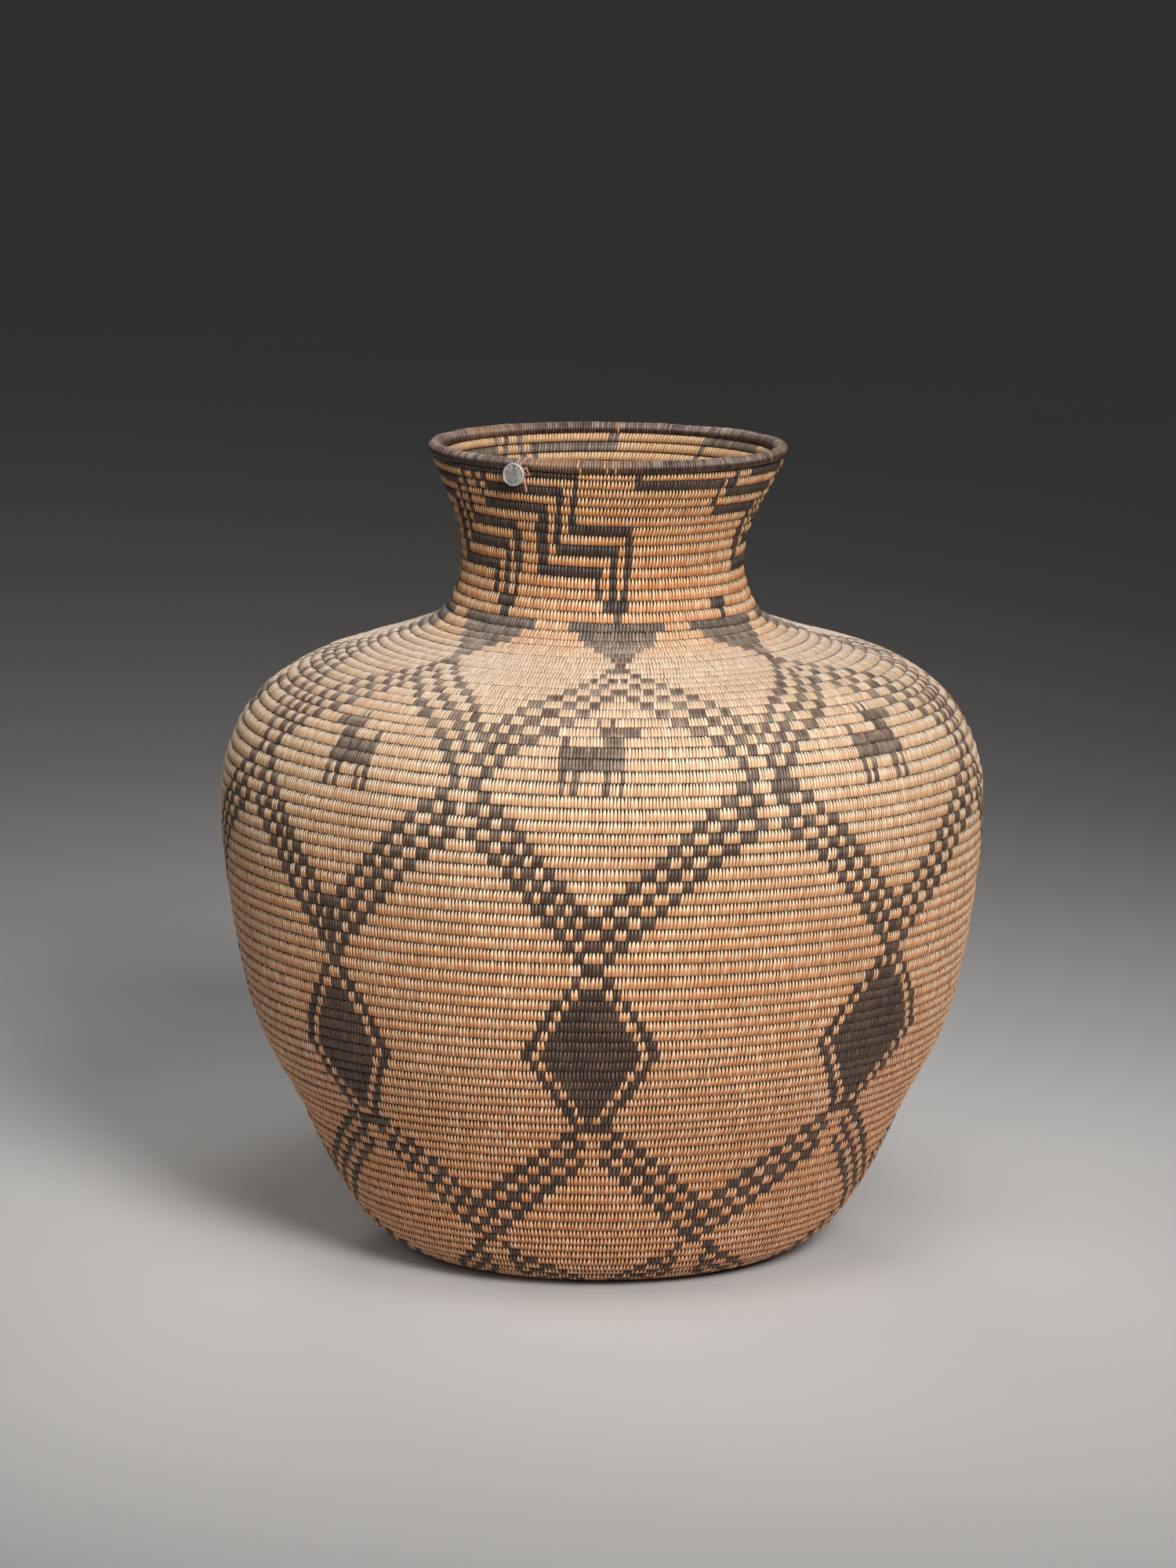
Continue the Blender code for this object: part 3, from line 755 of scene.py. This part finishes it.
# Tones by course, as the share of the way from the rim to the knot and a colour. Pale
# stitches are orange at the neck, cream on the shoulder and warm tan below, each paler on
# its upper half, from wear and a painted highlight, and darker and more orange on its
# lower half, with painted shade; some have gone dull
WORN_AND_HIGHLIT_TONES = (
    (0.0, 248, 204, 152), (0.12, 248, 206, 156), (0.16, 239, 213, 179),
    (0.21, 232, 222, 208), (0.29, 238, 224, 206), (0.38, 246, 221, 190),
    (0.48, 249, 211, 170), (0.72, 238, 180, 130),
)
KEPT_AND_SHADED_TONES = (
    (0.0, 206, 132, 74), (0.12, 208, 136, 80), (0.16, 208, 157, 113),
    (0.21, 210, 185, 160), (0.29, 214, 183, 149), (0.38, 214, 167, 122),
    (0.48, 210, 143, 92), (0.72, 190, 111, 60),
)
DULL_TONES = ((0.14, 184, 122, 71), (0.19, 196, 162, 130), (0.31, 194, 151, 113),
              (0.46, 182, 122, 73))
# Dark stitches are near black at the neck, paler on the shoulder and brown below
DEEP_TONES = ((0.0, 54, 40, 34), (0.14, 60, 47, 40), (0.17, 124, 106, 92),
              (0.30, 116, 95, 79), (0.40, 82, 61, 47), (0.55, 62, 39, 28))
# painted sheen of dark stitches: a painted highlight on their upper parts, palest on the
# shoulder
PAINTED_SHEEN_TONES = ((0.0, 104, 84, 72), (0.14, 112, 94, 82), (0.17, 204, 186, 168),
                (0.30, 196, 172, 150), (0.40, 146, 120, 98), (0.55, 112, 82, 60))
FADED_TONES = ((0.14, 116, 90, 70), (0.18, 196, 178, 160), (0.31, 190, 166, 142),
               (0.42, 116, 88, 66))


def coil_material():
    """Split stitches, pale or dark, with grain, crests paler from wear and a painted
    highlight, and painted shade in the gaps and grooves.
    """
    made = Nodes("coil_stitches")
    tint = made.attribute("stitch")
    dark, luck, second = made.separate("Color", tint.outputs["Color"])
    course = tint.outputs["Alpha"]
    beside, groove, rise = made.separate("XYZ", made.attribute("gap").outputs["Vector"])
    fibre = made.attribute("fibre").outputs["Vector"]
    # lengthwise grain: quick across the stitch, slow along it
    grain = made.noise(made.stretch(fibre, (9.0, 1.4, 1.0)), 1.0, 3.0, 0.6)
    place = made.place()
    patches = made.noise(place, 13.0, 3.0, 0.6)
    blotches = made.noise(place, 75.0, 3.0, 0.6)

    dull = made.ramp(course, DULL_TONES)
    # pale stitches take the lighter tone on their upper half, from wear and a painted
    # highlight, and the darker, more orange tone below, with painted shade
    pale = made.mix(made.range(rise, 0.25, 0.78, smooth=True),
                    made.ramp(course, KEPT_AND_SHADED_TONES), made.ramp(course, WORN_AND_HIGHLIT_TONES))
    pale = made.cover(pale, dull, luck, 0.5, 1.0, 0.5)
    pale = made.cover(pale, (250, 234, 204), second, 0.6, 1.0, 0.32)
    pale = made.cover(pale, dull, patches, 0.42, 0.72, 0.35)
    pale = made.cover(pale, dull, grain, 0.45, 0.8, 0.45)

    # painted highlight: the painted sheen tone over the upper part of each dark stitch,
    # stronger on some
    top = made.math("MULTIPLY", made.range(rise, 0.3, 0.8, 0.1, 1.0, smooth=True),
                    made.range(second, 0.0, 1.0, 0.35, 1.0))
    black = made.mix(top, made.ramp(course, DEEP_TONES), made.ramp(course, PAINTED_SHEEN_TONES))
    black = made.cover(black, (38, 29, 25), luck, 0.3, 1.0, 0.55)
    black = made.cover(black, made.ramp(course, FADED_TONES), blotches, 0.46, 0.72, 0.6)
    black = made.cover(black, (34, 25, 22), grain, 0.5, 0.8, 0.5)
    colour = made.mix(dark, pale, black)

    # inside, the stitches have dried to straw and a faded grey
    inside = made.range(made.separate("XYZ", fibre)[1], -0.06, 0.0, 1.0, 0.0)
    straw = made.mix(made.range(rise, 0.15, 0.85), (172, 130, 90), (226, 192, 148))
    straw = made.cover(straw, (176, 138, 100), luck, 0.4, 1.0, 0.5)
    dusty = made.mix(second, (92, 78, 68), (146, 128, 112))
    colour = made.mix(made.math("MULTIPLY", inside, 0.85), colour,
                      made.mix(dark, straw, dusty))

    # brown flanks of the stitches, and painted shade on the foundation in the gaps, in the
    # notches between stitch tops and in the grooves
    flank = made.range(beside, 0.05, 0.45, smooth=True)
    colour = made.mix(made.math("MULTIPLY", flank, 0.85), colour,
                      made.mix(dark, (122, 68, 36), (36, 23, 17)))
    notch = made.math("MULTIPLY", made.range(rise, 0.20, 0.72, smooth=True),
                      made.range(inside, 0.0, 1.0, 1.0, 0.3))
    reach = made.math("ADD", beside, made.math("MULTIPLY", notch, 0.42))
    gap_shade = made.math("MULTIPLY", made.range(reach, 0.34, 0.80, smooth=True),
                    made.range(notch, 0.0, 1.0, 0.6, 1.0))
    groove_shade = made.range(groove, 0.42, 0.95, 0.0, 0.85, smooth=True)
    painted_shade = made.math("MAXIMUM", gap_shade, groove_shade)
    # painted shade: near black in the gaps, notches and grooves
    made.shade("Base Color", made.mix(painted_shade, colour, (17, 10, 6)))
    made.shade("Roughness", made.math("ADD", made.range(grain, 0.3, 0.8, 0.40, 0.58),
                                       made.math("MULTIPLY", painted_shade, 0.3)))
    made.bump(grain, 0.35, 0.15)
    return made.material


def rim_material():
    """Dark wrapping splints with pale streaks on their upper sides as a painted highlight,
    tan where worn, and painted shade in the gaps.
    """
    made = Nodes("rim_stitches")
    tint = made.attribute("stitch")
    pale, luck, second = made.separate("Color", tint.outputs["Color"])
    worn = tint.outputs["Alpha"]
    beside, rise = made.separate("XYZ", made.attribute("gap").outputs["Vector"])[:2]
    place = made.place()
    grain = made.noise(place, 900.0, 2.0, 0.6)
    patches = made.noise(place, 45.0, 3.0, 0.6)
    # painted highlight: pale streaks on the upper side of each stitch, stronger in patches
    top = made.math("MULTIPLY", made.range(rise, -0.2, 0.7, smooth=True),
                    made.range(patches, 0.35, 0.65, 0.25, 0.85))
    colour = made.mix(top, made.mix(luck, (44, 30, 25), (84, 60, 48)),
                      made.mix(second, (96, 74, 62), (196, 172, 152)))
    # tan where worn, strongest on top of the coil and faint underneath
    colour = made.mix(made.math("MULTIPLY", worn, made.range(rise, -0.7, 0.5, 0.15, 0.95)),
                      colour, made.mix(luck, (150, 106, 74), (186, 140, 98)))
    colour = made.mix(made.math("MULTIPLY", pale, 0.85), colour, (198, 144, 96))
    colour = made.cover(colour, (38, 28, 24), grain, 0.5, 0.85, 0.4)
    # painted shade in the gaps between the stitches
    gap_shade = made.range(beside, 0.22, 0.80, smooth=True)
    made.shade("Base Color", made.mix(gap_shade, colour, (18, 12, 10)))
    made.shade("Roughness", made.range(grain, 0.3, 0.8, 0.30, 0.50))
    made.bump(grain, 0.3, 0.1)
    return made.material


def lead_material():
    """Dull grey lead, rubbed bright on its raised edge and darker in its dents."""
    made = Nodes("seal_lead")
    place = made.place()
    fine = made.noise(place, 1500.0, 3.0, 0.65)
    broad = made.noise(place, 330.0, 3.0, 0.6)
    stain = made.noise(place, 160.0, 2.0, 0.5)
    worn = made.add("NewGeometry").outputs["Pointiness"]
    colour = made.mix(made.range(broad, 0.35, 0.68), (206, 198, 192), (142, 138, 132))
    colour = made.cover(colour, (104, 100, 94), fine, 0.48, 0.72, 0.7)
    colour = made.cover(colour, (98, 108, 88), stain, 0.54, 0.62, 0.55)
    colour = made.cover(colour, (226, 220, 214), worn, 0.51, 0.58, 0.8)
    made.shade("Base Color", colour)
    made.shade("Metallic", 0.35)
    made.shade("Roughness", made.range(fine, 0.3, 0.8, 0.42, 0.62))
    made.bump(made.math("ADD", fine, made.math("MULTIPLY", broad, 1.5)), 0.6, 0.12)
    return made.material


def thread_material(name, light, dark):
    """Spun fibre: fine lines round each ply, and soft sheen."""
    made = Nodes(name)
    fibre = made.attribute("fibre").outputs["Vector"]
    hair = made.noise(made.stretch(fibre, (9.0, 1.6, 5.0)), 1.0, 3.0, 0.6)
    made.shade("Base Color", made.mix(made.range(hair, 0.3, 0.7), light, dark))
    made.shade("Roughness", 0.78)
    made.shade("Sheen Weight", 0.3)
    made.bump(hair, 0.5, 0.05)
    return made.material


# ---------------- pieces

def add_object(name, data):
    obj = bpy.data.objects.new(name, data)
    bpy.context.scene.collection.objects.link(obj)
    return obj


def add_piece(name, mesh, material, body, slot, *nodes):
    """Put a piece in the scene on its body, in its finish, for the nodes it replaces."""
    obj = add_object(name, mesh)
    mesh.materials.append(material)
    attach(obj, body)
    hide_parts(*nodes)


def make_coil():
    material = coil_material()
    for name, node, first, last, lengths in ZONES:
        inner = INNER_ROWS if first >= RIBBED_INSIDE_FROM else PLAIN_INNER_ROWS
        places = np.linspace(first, last, lengths + 1)
        for number in range(lengths):
            label = f"{name}_{number + 1}" if lengths > 1 else name
            mesh = coil_mesh(label, places[number], places[number + 1], inner)
            add_piece(label, mesh, material, "basket", "coil", node)


# The knot's stitches, radius, middle height in mm, and slant as a share of a turn, and its
# rows: share of the radius, height in mm, and depth of the gap in mm
KNOT_STITCHES = 20
KNOT_RADIUS = 8.7 * MM
KNOT_MIDDLE = 3.3
KNOT_SLANT = 0.10
KNOT_ROWS = ((0.04, 0.6, 0.0), (0.12, 0.2, 0.1), (0.35, 0.0, 0.25), (0.62, 0.2, 0.3),
             (0.80, 0.9, 0.3), (0.985, 2.2, 0.2), (0.985, 4.4, 0.2), (0.80, 5.6, 0.3),
             (0.62, 6.2, 0.3), (0.35, 6.4, 0.25), (0.12, 6.2, 0.1), (0.04, 5.8, 0.0))


def make_knot():
    """The start of the coil under the base: a tight ring of stitches round a core."""
    seeds = np.random.default_rng(5)
    columns = 3 * KNOT_STITCHES
    start = np.arange(KNOT_STITCHES)
    places = weave(columns, start, start + 0.2, start + 0.8)
    points = []
    for share, height, gap in KNOT_ROWS:
        angle = math.tau * (places / KNOT_STITCHES + KNOT_SLANT * share)
        inward = gap if height < KNOT_MIDDLE else -gap
        rise = weave(columns, height + inward, height, height)
        reach = share * KNOT_RADIUS
        points.append(vectors(reach * np.sin(angle), -reach * np.cos(angle), rise * MM))
    mesh = build_mesh("start_knot_wrapping", points,
                      grid_quads(len(KNOT_ROWS), columns, wrap_columns=True))
    close_mesh(mesh, fill=True)
    set_points(mesh, "gap", vectors(np.arange(len(mesh.vertices)) % 3 == 0, 0.0, 0.6))
    set_points(mesh, "fibre", [tuple(point.co / MM) for point in mesh.vertices])
    faces = len(mesh.polygons)
    set_stitches(mesh, vectors(0.0, *seeds.uniform(0.0, 1.0, (2, faces)), 0.95))
    add_piece("start_knot_wrapping", mesh, bpy.data.materials["coil_stitches"], "basket",
              "coil", "start_knot")


# Rim: a coil of its own, sewn all round with narrow stitches. It lifts a little in front
RIM_MINOR = 0.0033
RIM_STITCHES = 390
RIM_SIDES = 16
RIM_PROUD = 0.1 * MM
RIM_BULGE = 0.18 * MM
RIM_LIFT = 0.5 * MM
RIM_TILT = math.radians(0.6)
# Its stitches: depth of a gap, how far a gap may be off its place and half width of a
# crest as shares of the pitch, how slim a crest may be, and how deep it is sunk in mm
RIM_GAP = 0.55 * MM
RIM_GAP_SPREAD = 0.16
RIM_HALF = 0.29
RIM_SLIM = (0.75, 1.2)
RIM_SUNK = (0.0, 0.30)
# Where it has worn to tan (middle and reach in degrees, and how much), and where single
# stitches are pale (from and to in degrees, and how many)
RIM_WORN = ((-19.0, 9.0, 0.9), (2.0, 8.0, 0.35), (-133.0, 12.0, 0.55))
RIM_PALE = ((-136.0, -127.0, 0.3), (175.4, 176.4, 1.0), (-3.0, 2.0, 0.25),
            (-14.0, -9.0, 0.25), (60.0, 66.0, 0.3))


def rim_centre(angle):
    """Points on the rim's centre line, angles in radians from the front."""
    radius, height = OUTLINE.rim
    lift = RIM_LIFT * ((1.0 + np.cos(angle)) / 2.0) ** 1.5
    return vectors(SHIFT + radius * np.sin(angle) * math.cos(RIM_TILT),
                   -radius * np.cos(angle),
                   height - radius * np.sin(angle) * math.sin(RIM_TILT) + lift)


def make_rim():
    seeds = np.random.default_rng(77)
    pitch = math.tau / RIM_STITCHES
    gaps = np.arange(RIM_STITCHES) * pitch
    gaps = gaps + seeds.uniform(-RIM_GAP_SPREAD, RIM_GAP_SPREAD, RIM_STITCHES) * pitch
    width = np.roll(gaps, -1) - gaps
    width[-1] += math.tau
    sunk = seeds.uniform(*RIM_SUNK, RIM_STITCHES) * MM
    half = RIM_HALF * seeds.uniform(*RIM_SLIM, RIM_STITCHES) * width
    middle = gaps + width / 2.0
    columns = 3 * RIM_STITCHES
    bulge = Waves(RIM_BULGE, 2.0, 20.0)
    points = []
    rises = np.sin(math.tau * np.arange(RIM_SIDES) / RIM_SIDES)
    for row, rise in enumerate(rises):
        share = row / RIM_SIDES
        angle = weave(columns, gaps, middle - half, middle + half) + share * pitch
        reach = (RIM_MINOR + RIM_PROUD - weave(columns, RIM_GAP, sunk, sunk)
                 + bulge.at(angle / math.tau))
        flat = math.cos(math.tau * share)
        out = vectors(flat * np.sin(angle), -flat * np.cos(angle), rise)
        points.append(rim_centre(angle) + reach[:, None] * out)
    mesh = build_mesh("rim_wrapping", points, grid_quads(RIM_SIDES, columns, True, True, 3))
    crease_gaps(mesh, columns)
    set_points(mesh, "gap", vectors(np.arange(columns) % 3 == 0, rises[:, None], 0.0))
    # per stitch: pale or not, two random values and how far the stitch has worn to tan
    degrees = (np.degrees(middle) + 180.0) % 360.0 - 180.0
    worn = sum(most * np.exp(-((degrees - place) / spread) ** 2)
               for place, spread, most in RIM_WORN)
    pale = np.zeros(RIM_STITCHES)
    for low, high, chance in RIM_PALE:
        here = (degrees > low) & (degrees < high)
        pale[here] = seeds.uniform(0.0, 1.0, int(here.sum())) < chance
    luck = seeds.uniform(0.0, 1.0, (RIM_STITCHES, 2))
    tint = np.column_stack((pale, luck, np.clip(worn, 0.0, 1.0)))
    set_stitches(mesh, np.tile(np.repeat(tint, 3, axis=0), (RIM_SIDES, 1)))
    add_piece("rim_wrapping", mesh, rim_material(), "basket", "rim", "rim_coil")


# Seal, thread and tails, where the CAD has them
THREAD_PLACE = math.radians(-27.0)
SEAL_RADIUS = 5.6 * MM
SEAL_HALF = 1.2 * MM
SEAL_MIDDLE = Vector((-5.0 * MM, -4.8 * MM, -4.0 * MM))
SEAL_STEPS = 96
# Its dents and slow waves, as shares of half its thickness
SEAL_DENTS, SEAL_WAVE = 0.012, 0.02
THREAD_WIDTH = 0.9 * MM
THREAD_RADIUS = RIM_MINOR + 0.3 * MM + THREAD_WIDTH / 2.0
# Steps along a thread, and each ply's sides, radius and distance from the thread's
# middle, as shares of its width
THREAD_STEP = 0.16 * MM
PLY_SIDES, PLY_RADIUS, PLY_OFFSET = 8, 0.27, 0.23
LOOP_TWIST, TAIL_TWIST = 2.4 * MM, 2.0 * MM
# How deep a thread goes into the seal
BURIED = 1.4 * MM
# The loop's way round the rim: points, first angle, angle in all, and shift along the rim
LOOP_POINTS, LOOP_FROM, LOOP_ROUND, LOOP_SHIFT = 16, 48.0, 270.0, 1.8 * MM


def hanging_frame():
    """Axes at the thread's place on the rim: X along the rim, -Y outward, +Z up."""
    radius, height = OUTLINE.rim
    centre = Vector((radius * math.sin(THREAD_PLACE), -radius * math.cos(THREAD_PLACE),
                     0.0))
    return (Matrix.Translation((SHIFT, 0.0, height)) @ Matrix.Rotation(RIM_TILT, 4, "Y")
            @ Matrix.Translation(centre) @ Matrix.Rotation(THREAD_PLACE, 4, "Z"))


HANGING = hanging_frame()


def seal_edge(degrees, inset):
    """A point in the seal's middle plane, inset from its edge."""
    angle = math.radians(degrees)
    reach = SEAL_RADIUS - inset
    return SEAL_MIDDLE + Vector((reach * math.cos(angle), 0.0, reach * math.sin(angle)))


def make_seal():
    """A cast lead disc: raised edge, hammered face and a pinched outline."""
    seeds = np.random.default_rng(12)
    # share of the radius, height of the face as a share of half the thickness
    rings = ((0.0, 0.76), (0.2, 0.76), (0.4, 0.75), (0.58, 0.76), (0.74, 0.77),
             (0.84, 0.80), (0.88, 0.96), (0.93, 1.0), (0.975, 0.97), (1.0, 0.84),
             (1.0, 0.4), (0.995, 0.0), (1.0, -0.4), (1.0, -0.84), (0.97, -0.98),
             (0.8, -1.0), (0.5, -0.99), (0.2, -1.0), (0.0, -1.0))
    angle = np.arange(SEAL_STEPS) * math.tau / SEAL_STEPS
    outline = (1.0 + 0.012 * np.sin(2.0 * angle + 0.6) + 0.007 * np.sin(3.0 * angle + 2.0)
               + 0.004 * np.sin(7.0 * angle + 1.0))
    points = []
    for share, face in rings:
        dents = 0.0
        if 0.1 < share < 0.99:
            dents = seeds.normal(0.0, SEAL_DENTS, SEAL_STEPS)
        if 0.1 < share < 0.9:
            dents = dents + SEAL_WAVE * np.sin(3.0 * angle + 5.0 * share)
        reach = SEAL_RADIUS * 0.99 * share * (outline if share > 0.6 else 1.0)
        points.append(vectors(reach * np.cos(angle), -SEAL_HALF * (face + dents),
                              reach * np.sin(angle)))
    mesh = build_mesh("seal_disc", points,
                      grid_quads(len(rings), SEAL_STEPS, wrap_columns=True))
    close_mesh(mesh, merge=0.002 * MM)
    mesh.transform(HANGING @ Matrix.Translation(SEAL_MIDDLE))
    add_piece("seal_disc", mesh, lead_material(), "seal", "lead", "lead_seal")


def path_through(points):
    """A smooth path through points, in even steps."""
    guides = ([2.0 * points[0] - points[1]] + list(points)
              + [2.0 * points[-1] - points[-2]])
    line = []
    for before, start, end, after in zip(guides, guides[1:], guides[2:], guides[3:]):
        for step in range(8):
            t = step / 8.0
            line.append(0.5 * (2.0 * start + (end - before) * t
                               + (2.0 * before - 5.0 * start + 4.0 * end - after) * t * t
                               + (3.0 * start - before - 3.0 * end + after) * t ** 3))
    line.append(points[-1])
    line = np.array([tuple(point) for point in line])
    run_to = run_lengths(line)
    steps = max(8, int(run_to[-1] / THREAD_STEP))
    places = np.linspace(0.0, run_to[-1], steps + 1)
    return vectors(*(np.interp(places, run_to, values) for values in line.T))


def twisted_thread(name, points, twist):
    """Two plies twisted round a path, as a closed mesh."""
    path = path_through(points)
    count = len(path)
    forward = np.gradient(path, axis=0)
    forward /= np.linalg.norm(forward, axis=1)[:, None]
    normal = np.zeros_like(path)
    side = np.cross(forward[0], (0.3, 0.2, 0.9))
    for step in range(count):
        side = side - forward[step] * np.dot(side, forward[step])
        side /= np.linalg.norm(side)
        normal[step] = side
    other = np.cross(forward, normal)
    length = run_lengths(path)
    corner = np.arange(PLY_SIDES) / PLY_SIDES
    around = math.tau * corner[:, None]
    ring = PLY_RADIUS * THREAD_WIDTH * (np.cos(around) * normal[:, None]
                                        + np.sin(around) * other[:, None])
    plies, fibres, quads, caps = [], [], [], []
    for strand in range(2):
        turn = (math.tau * length / twist + math.pi * strand)[:, None]
        centre = path + PLY_OFFSET * THREAD_WIDTH * (np.cos(turn) * normal
                                                     + np.sin(turn) * other)
        plies.append(centre[:, None] + ring)
        fibres.append(vectors(corner, length[:, None] / MM, strand))
        index = strand * count * PLY_SIDES
        quads.append(grid_quads(count, PLY_SIDES, wrap_columns=True) + index)
        caps += [end * PLY_SIDES + index + np.arange(PLY_SIDES) for end in (0, count - 1)]
    mesh = build_mesh(name, plies, np.concatenate(quads), caps)
    close_mesh(mesh)
    set_points(mesh, "fibre", fibres)
    mesh.transform(HANGING)
    return mesh


def make_thread():
    tan = thread_material("tan_thread", (214, 166, 122), (168, 116, 76))
    red = thread_material("red_thread", (206, 92, 84), (150, 52, 48))
    points = [seal_edge(55.0, BURIED), seal_edge(55.0, -THREAD_WIDTH)]
    for share in np.arange(LOOP_POINTS) / (LOOP_POINTS - 1.0):
        turn = math.radians(LOOP_FROM + LOOP_ROUND * share)
        points.append(Vector((LOOP_SHIFT * share - THREAD_WIDTH / 4.0,
                              -THREAD_RADIUS * math.cos(turn),
                              THREAD_RADIUS * math.sin(turn))))
    points += [seal_edge(28.0, -LOOP_SHIFT), seal_edge(28.0, -THREAD_WIDTH / 2.0),
               seal_edge(28.0, BURIED)]
    mesh = twisted_thread("seal_thread_twist", points, LOOP_TWIST)
    loop = add_object("seal_thread_twist", mesh)
    mesh.materials.append(tan)
    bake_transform(loop)
    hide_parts("seal_thread")
    for name, node, slot, material, degrees, reach, droop in (
            ("red_tail", "thread_tail_red", "red_thread", red, 2.0, 2.2 * MM, 0.0),
            ("tan_tail", "thread_tail_tan", "thread", tan, -28.0, 5.0 * MM, -50.0)):
        out = seal_edge(degrees, -THREAD_WIDTH)
        way = math.radians(degrees + droop)
        tip = out + reach * Vector((math.cos(way), 0.0, math.sin(way)))
        half_way = out.lerp(tip, 0.5) + Vector((0.0, 0.0, 0.06 * reach))
        mesh = twisted_thread(name, [seal_edge(degrees, BURIED), out, half_way, tip],
                              TAIL_TWIST)
        add_piece(name, mesh, material, "seal", slot, node)


# ---------------- stage, light, camera

FLOOR_REACH, FLOOR_HEIGHT = 30.0, -0.0002
FLOOR_COLOURS = (0.56, 0.545, 0.535, 1.0), (0.59, 0.575, 0.56, 1.0)
# Softboxes: name, place, what it faces, width, watts and spread in degrees
LAMPS = (
    ("key_softbox", (0.72, -1.9, 1.35), (0.0, 0.0, 0.19), 0.8, 3.9, 40.0),
    ("top_softbox", (0.1, -0.75, 2.0), (0.0, -0.05, 0.1), 0.9, 1.0, 45.0),
    ("fill_softbox", (-0.4, -2.2, 1.0), (0.0, 0.0, 0.18), 0.8, 0.55, 40.0),
    ("right_softbox", (1.7, 0.5, 1.1), (0.0, 0.0, 0.18), 0.9, 0.15, 45.0),
    ("left_softbox", (-1.7, 0.7, 1.2), (0.0, 0.0, 0.18), 0.9, 0.3, 45.0),
    ("back_softbox", (-0.3, 1.9, 1.5), (0.0, 0.0, 0.15), 0.9, 0.7, 45.0),
)
# The world lights the jar a little, and what the camera sees of it is near black
WORLD_LIGHT, WORLD_SEEN = 0.05, (0.006, 0.006, 0.006, 1.0)
CAMERA_PLACE = (0.0, -3.0382, 0.7563)
CAMERA_DOWN = 9.85
SENSOR, LENS, CAMERA_SHIFT = 36.0, 144.0, -0.009


def make_stage():
    low, high = -FLOOR_REACH, FLOOR_REACH
    mesh = build_mesh("floor", ((low, low, 0.0), (high, low, 0.0), (high, high, 0.0),
                                (low, high, 0.0)), np.array(((0, 1, 2, 3),)))
    floor = add_object("floor", mesh)
    floor.location.z = FLOOR_HEIGHT
    made = Nodes("pale_floor")
    tone = made.noise(made.place(), 3.0, 2.0, 0.5)
    made.shade("Base Color", made.mix(tone, *FLOOR_COLOURS))
    made.shade("Roughness", 0.9)
    made.shade("Specular IOR Level", 0.1)
    mesh.materials.append(made.material)


def make_light():
    for name, place, target, size, power, spread in LAMPS:
        lamp = bpy.data.lights.new(name, "AREA")
        lamp.shape = "RECTANGLE"
        lamp.size = lamp.size_y = size
        lamp.energy = power
        lamp.spread = math.radians(spread)
        obj = add_object(name, lamp)
        obj.location = place
        facing = Vector(target) - Vector(place)
        obj.rotation_euler = facing.to_track_quat("-Z", "Y").to_euler()
    world = bpy.data.worlds.new("studio")
    bpy.context.scene.world = world
    world.use_nodes = True
    tree = world.node_tree
    back = tree.nodes["Background"]
    back.inputs["Color"].default_value = (1.0, 1.0, 1.0, 1.0)
    back.inputs["Strength"].default_value = WORLD_LIGHT
    seen = tree.nodes.new("ShaderNodeBackground")
    seen.inputs["Color"].default_value = WORLD_SEEN
    either = tree.nodes.new("ShaderNodeMixShader")
    path = tree.nodes.new("ShaderNodeLightPath")
    surface = tree.nodes["World Output"].inputs["Surface"]
    for source, target in ((path.outputs["Is Camera Ray"], either.inputs[0]),
                           (back.outputs[0], either.inputs[1]),
                           (seen.outputs[0], either.inputs[2]),
                           (either.outputs[0], surface)):
        tree.links.new(source, target)


def make_camera():
    data = bpy.data.cameras.new("camera")
    data.sensor_width, data.lens, data.shift_x = SENSOR, LENS, CAMERA_SHIFT
    camera = add_object("camera", data)
    camera.location = CAMERA_PLACE
    camera.rotation_euler = (math.radians(90.0 - CAMERA_DOWN), 0.0, 0.0)
    bpy.context.scene.camera = camera


make_coil()
make_rim()
make_seal()
make_thread()
make_knot()
make_stage()
make_light()
make_camera()
bpy.context.scene.view_settings.view_transform = "Standard"
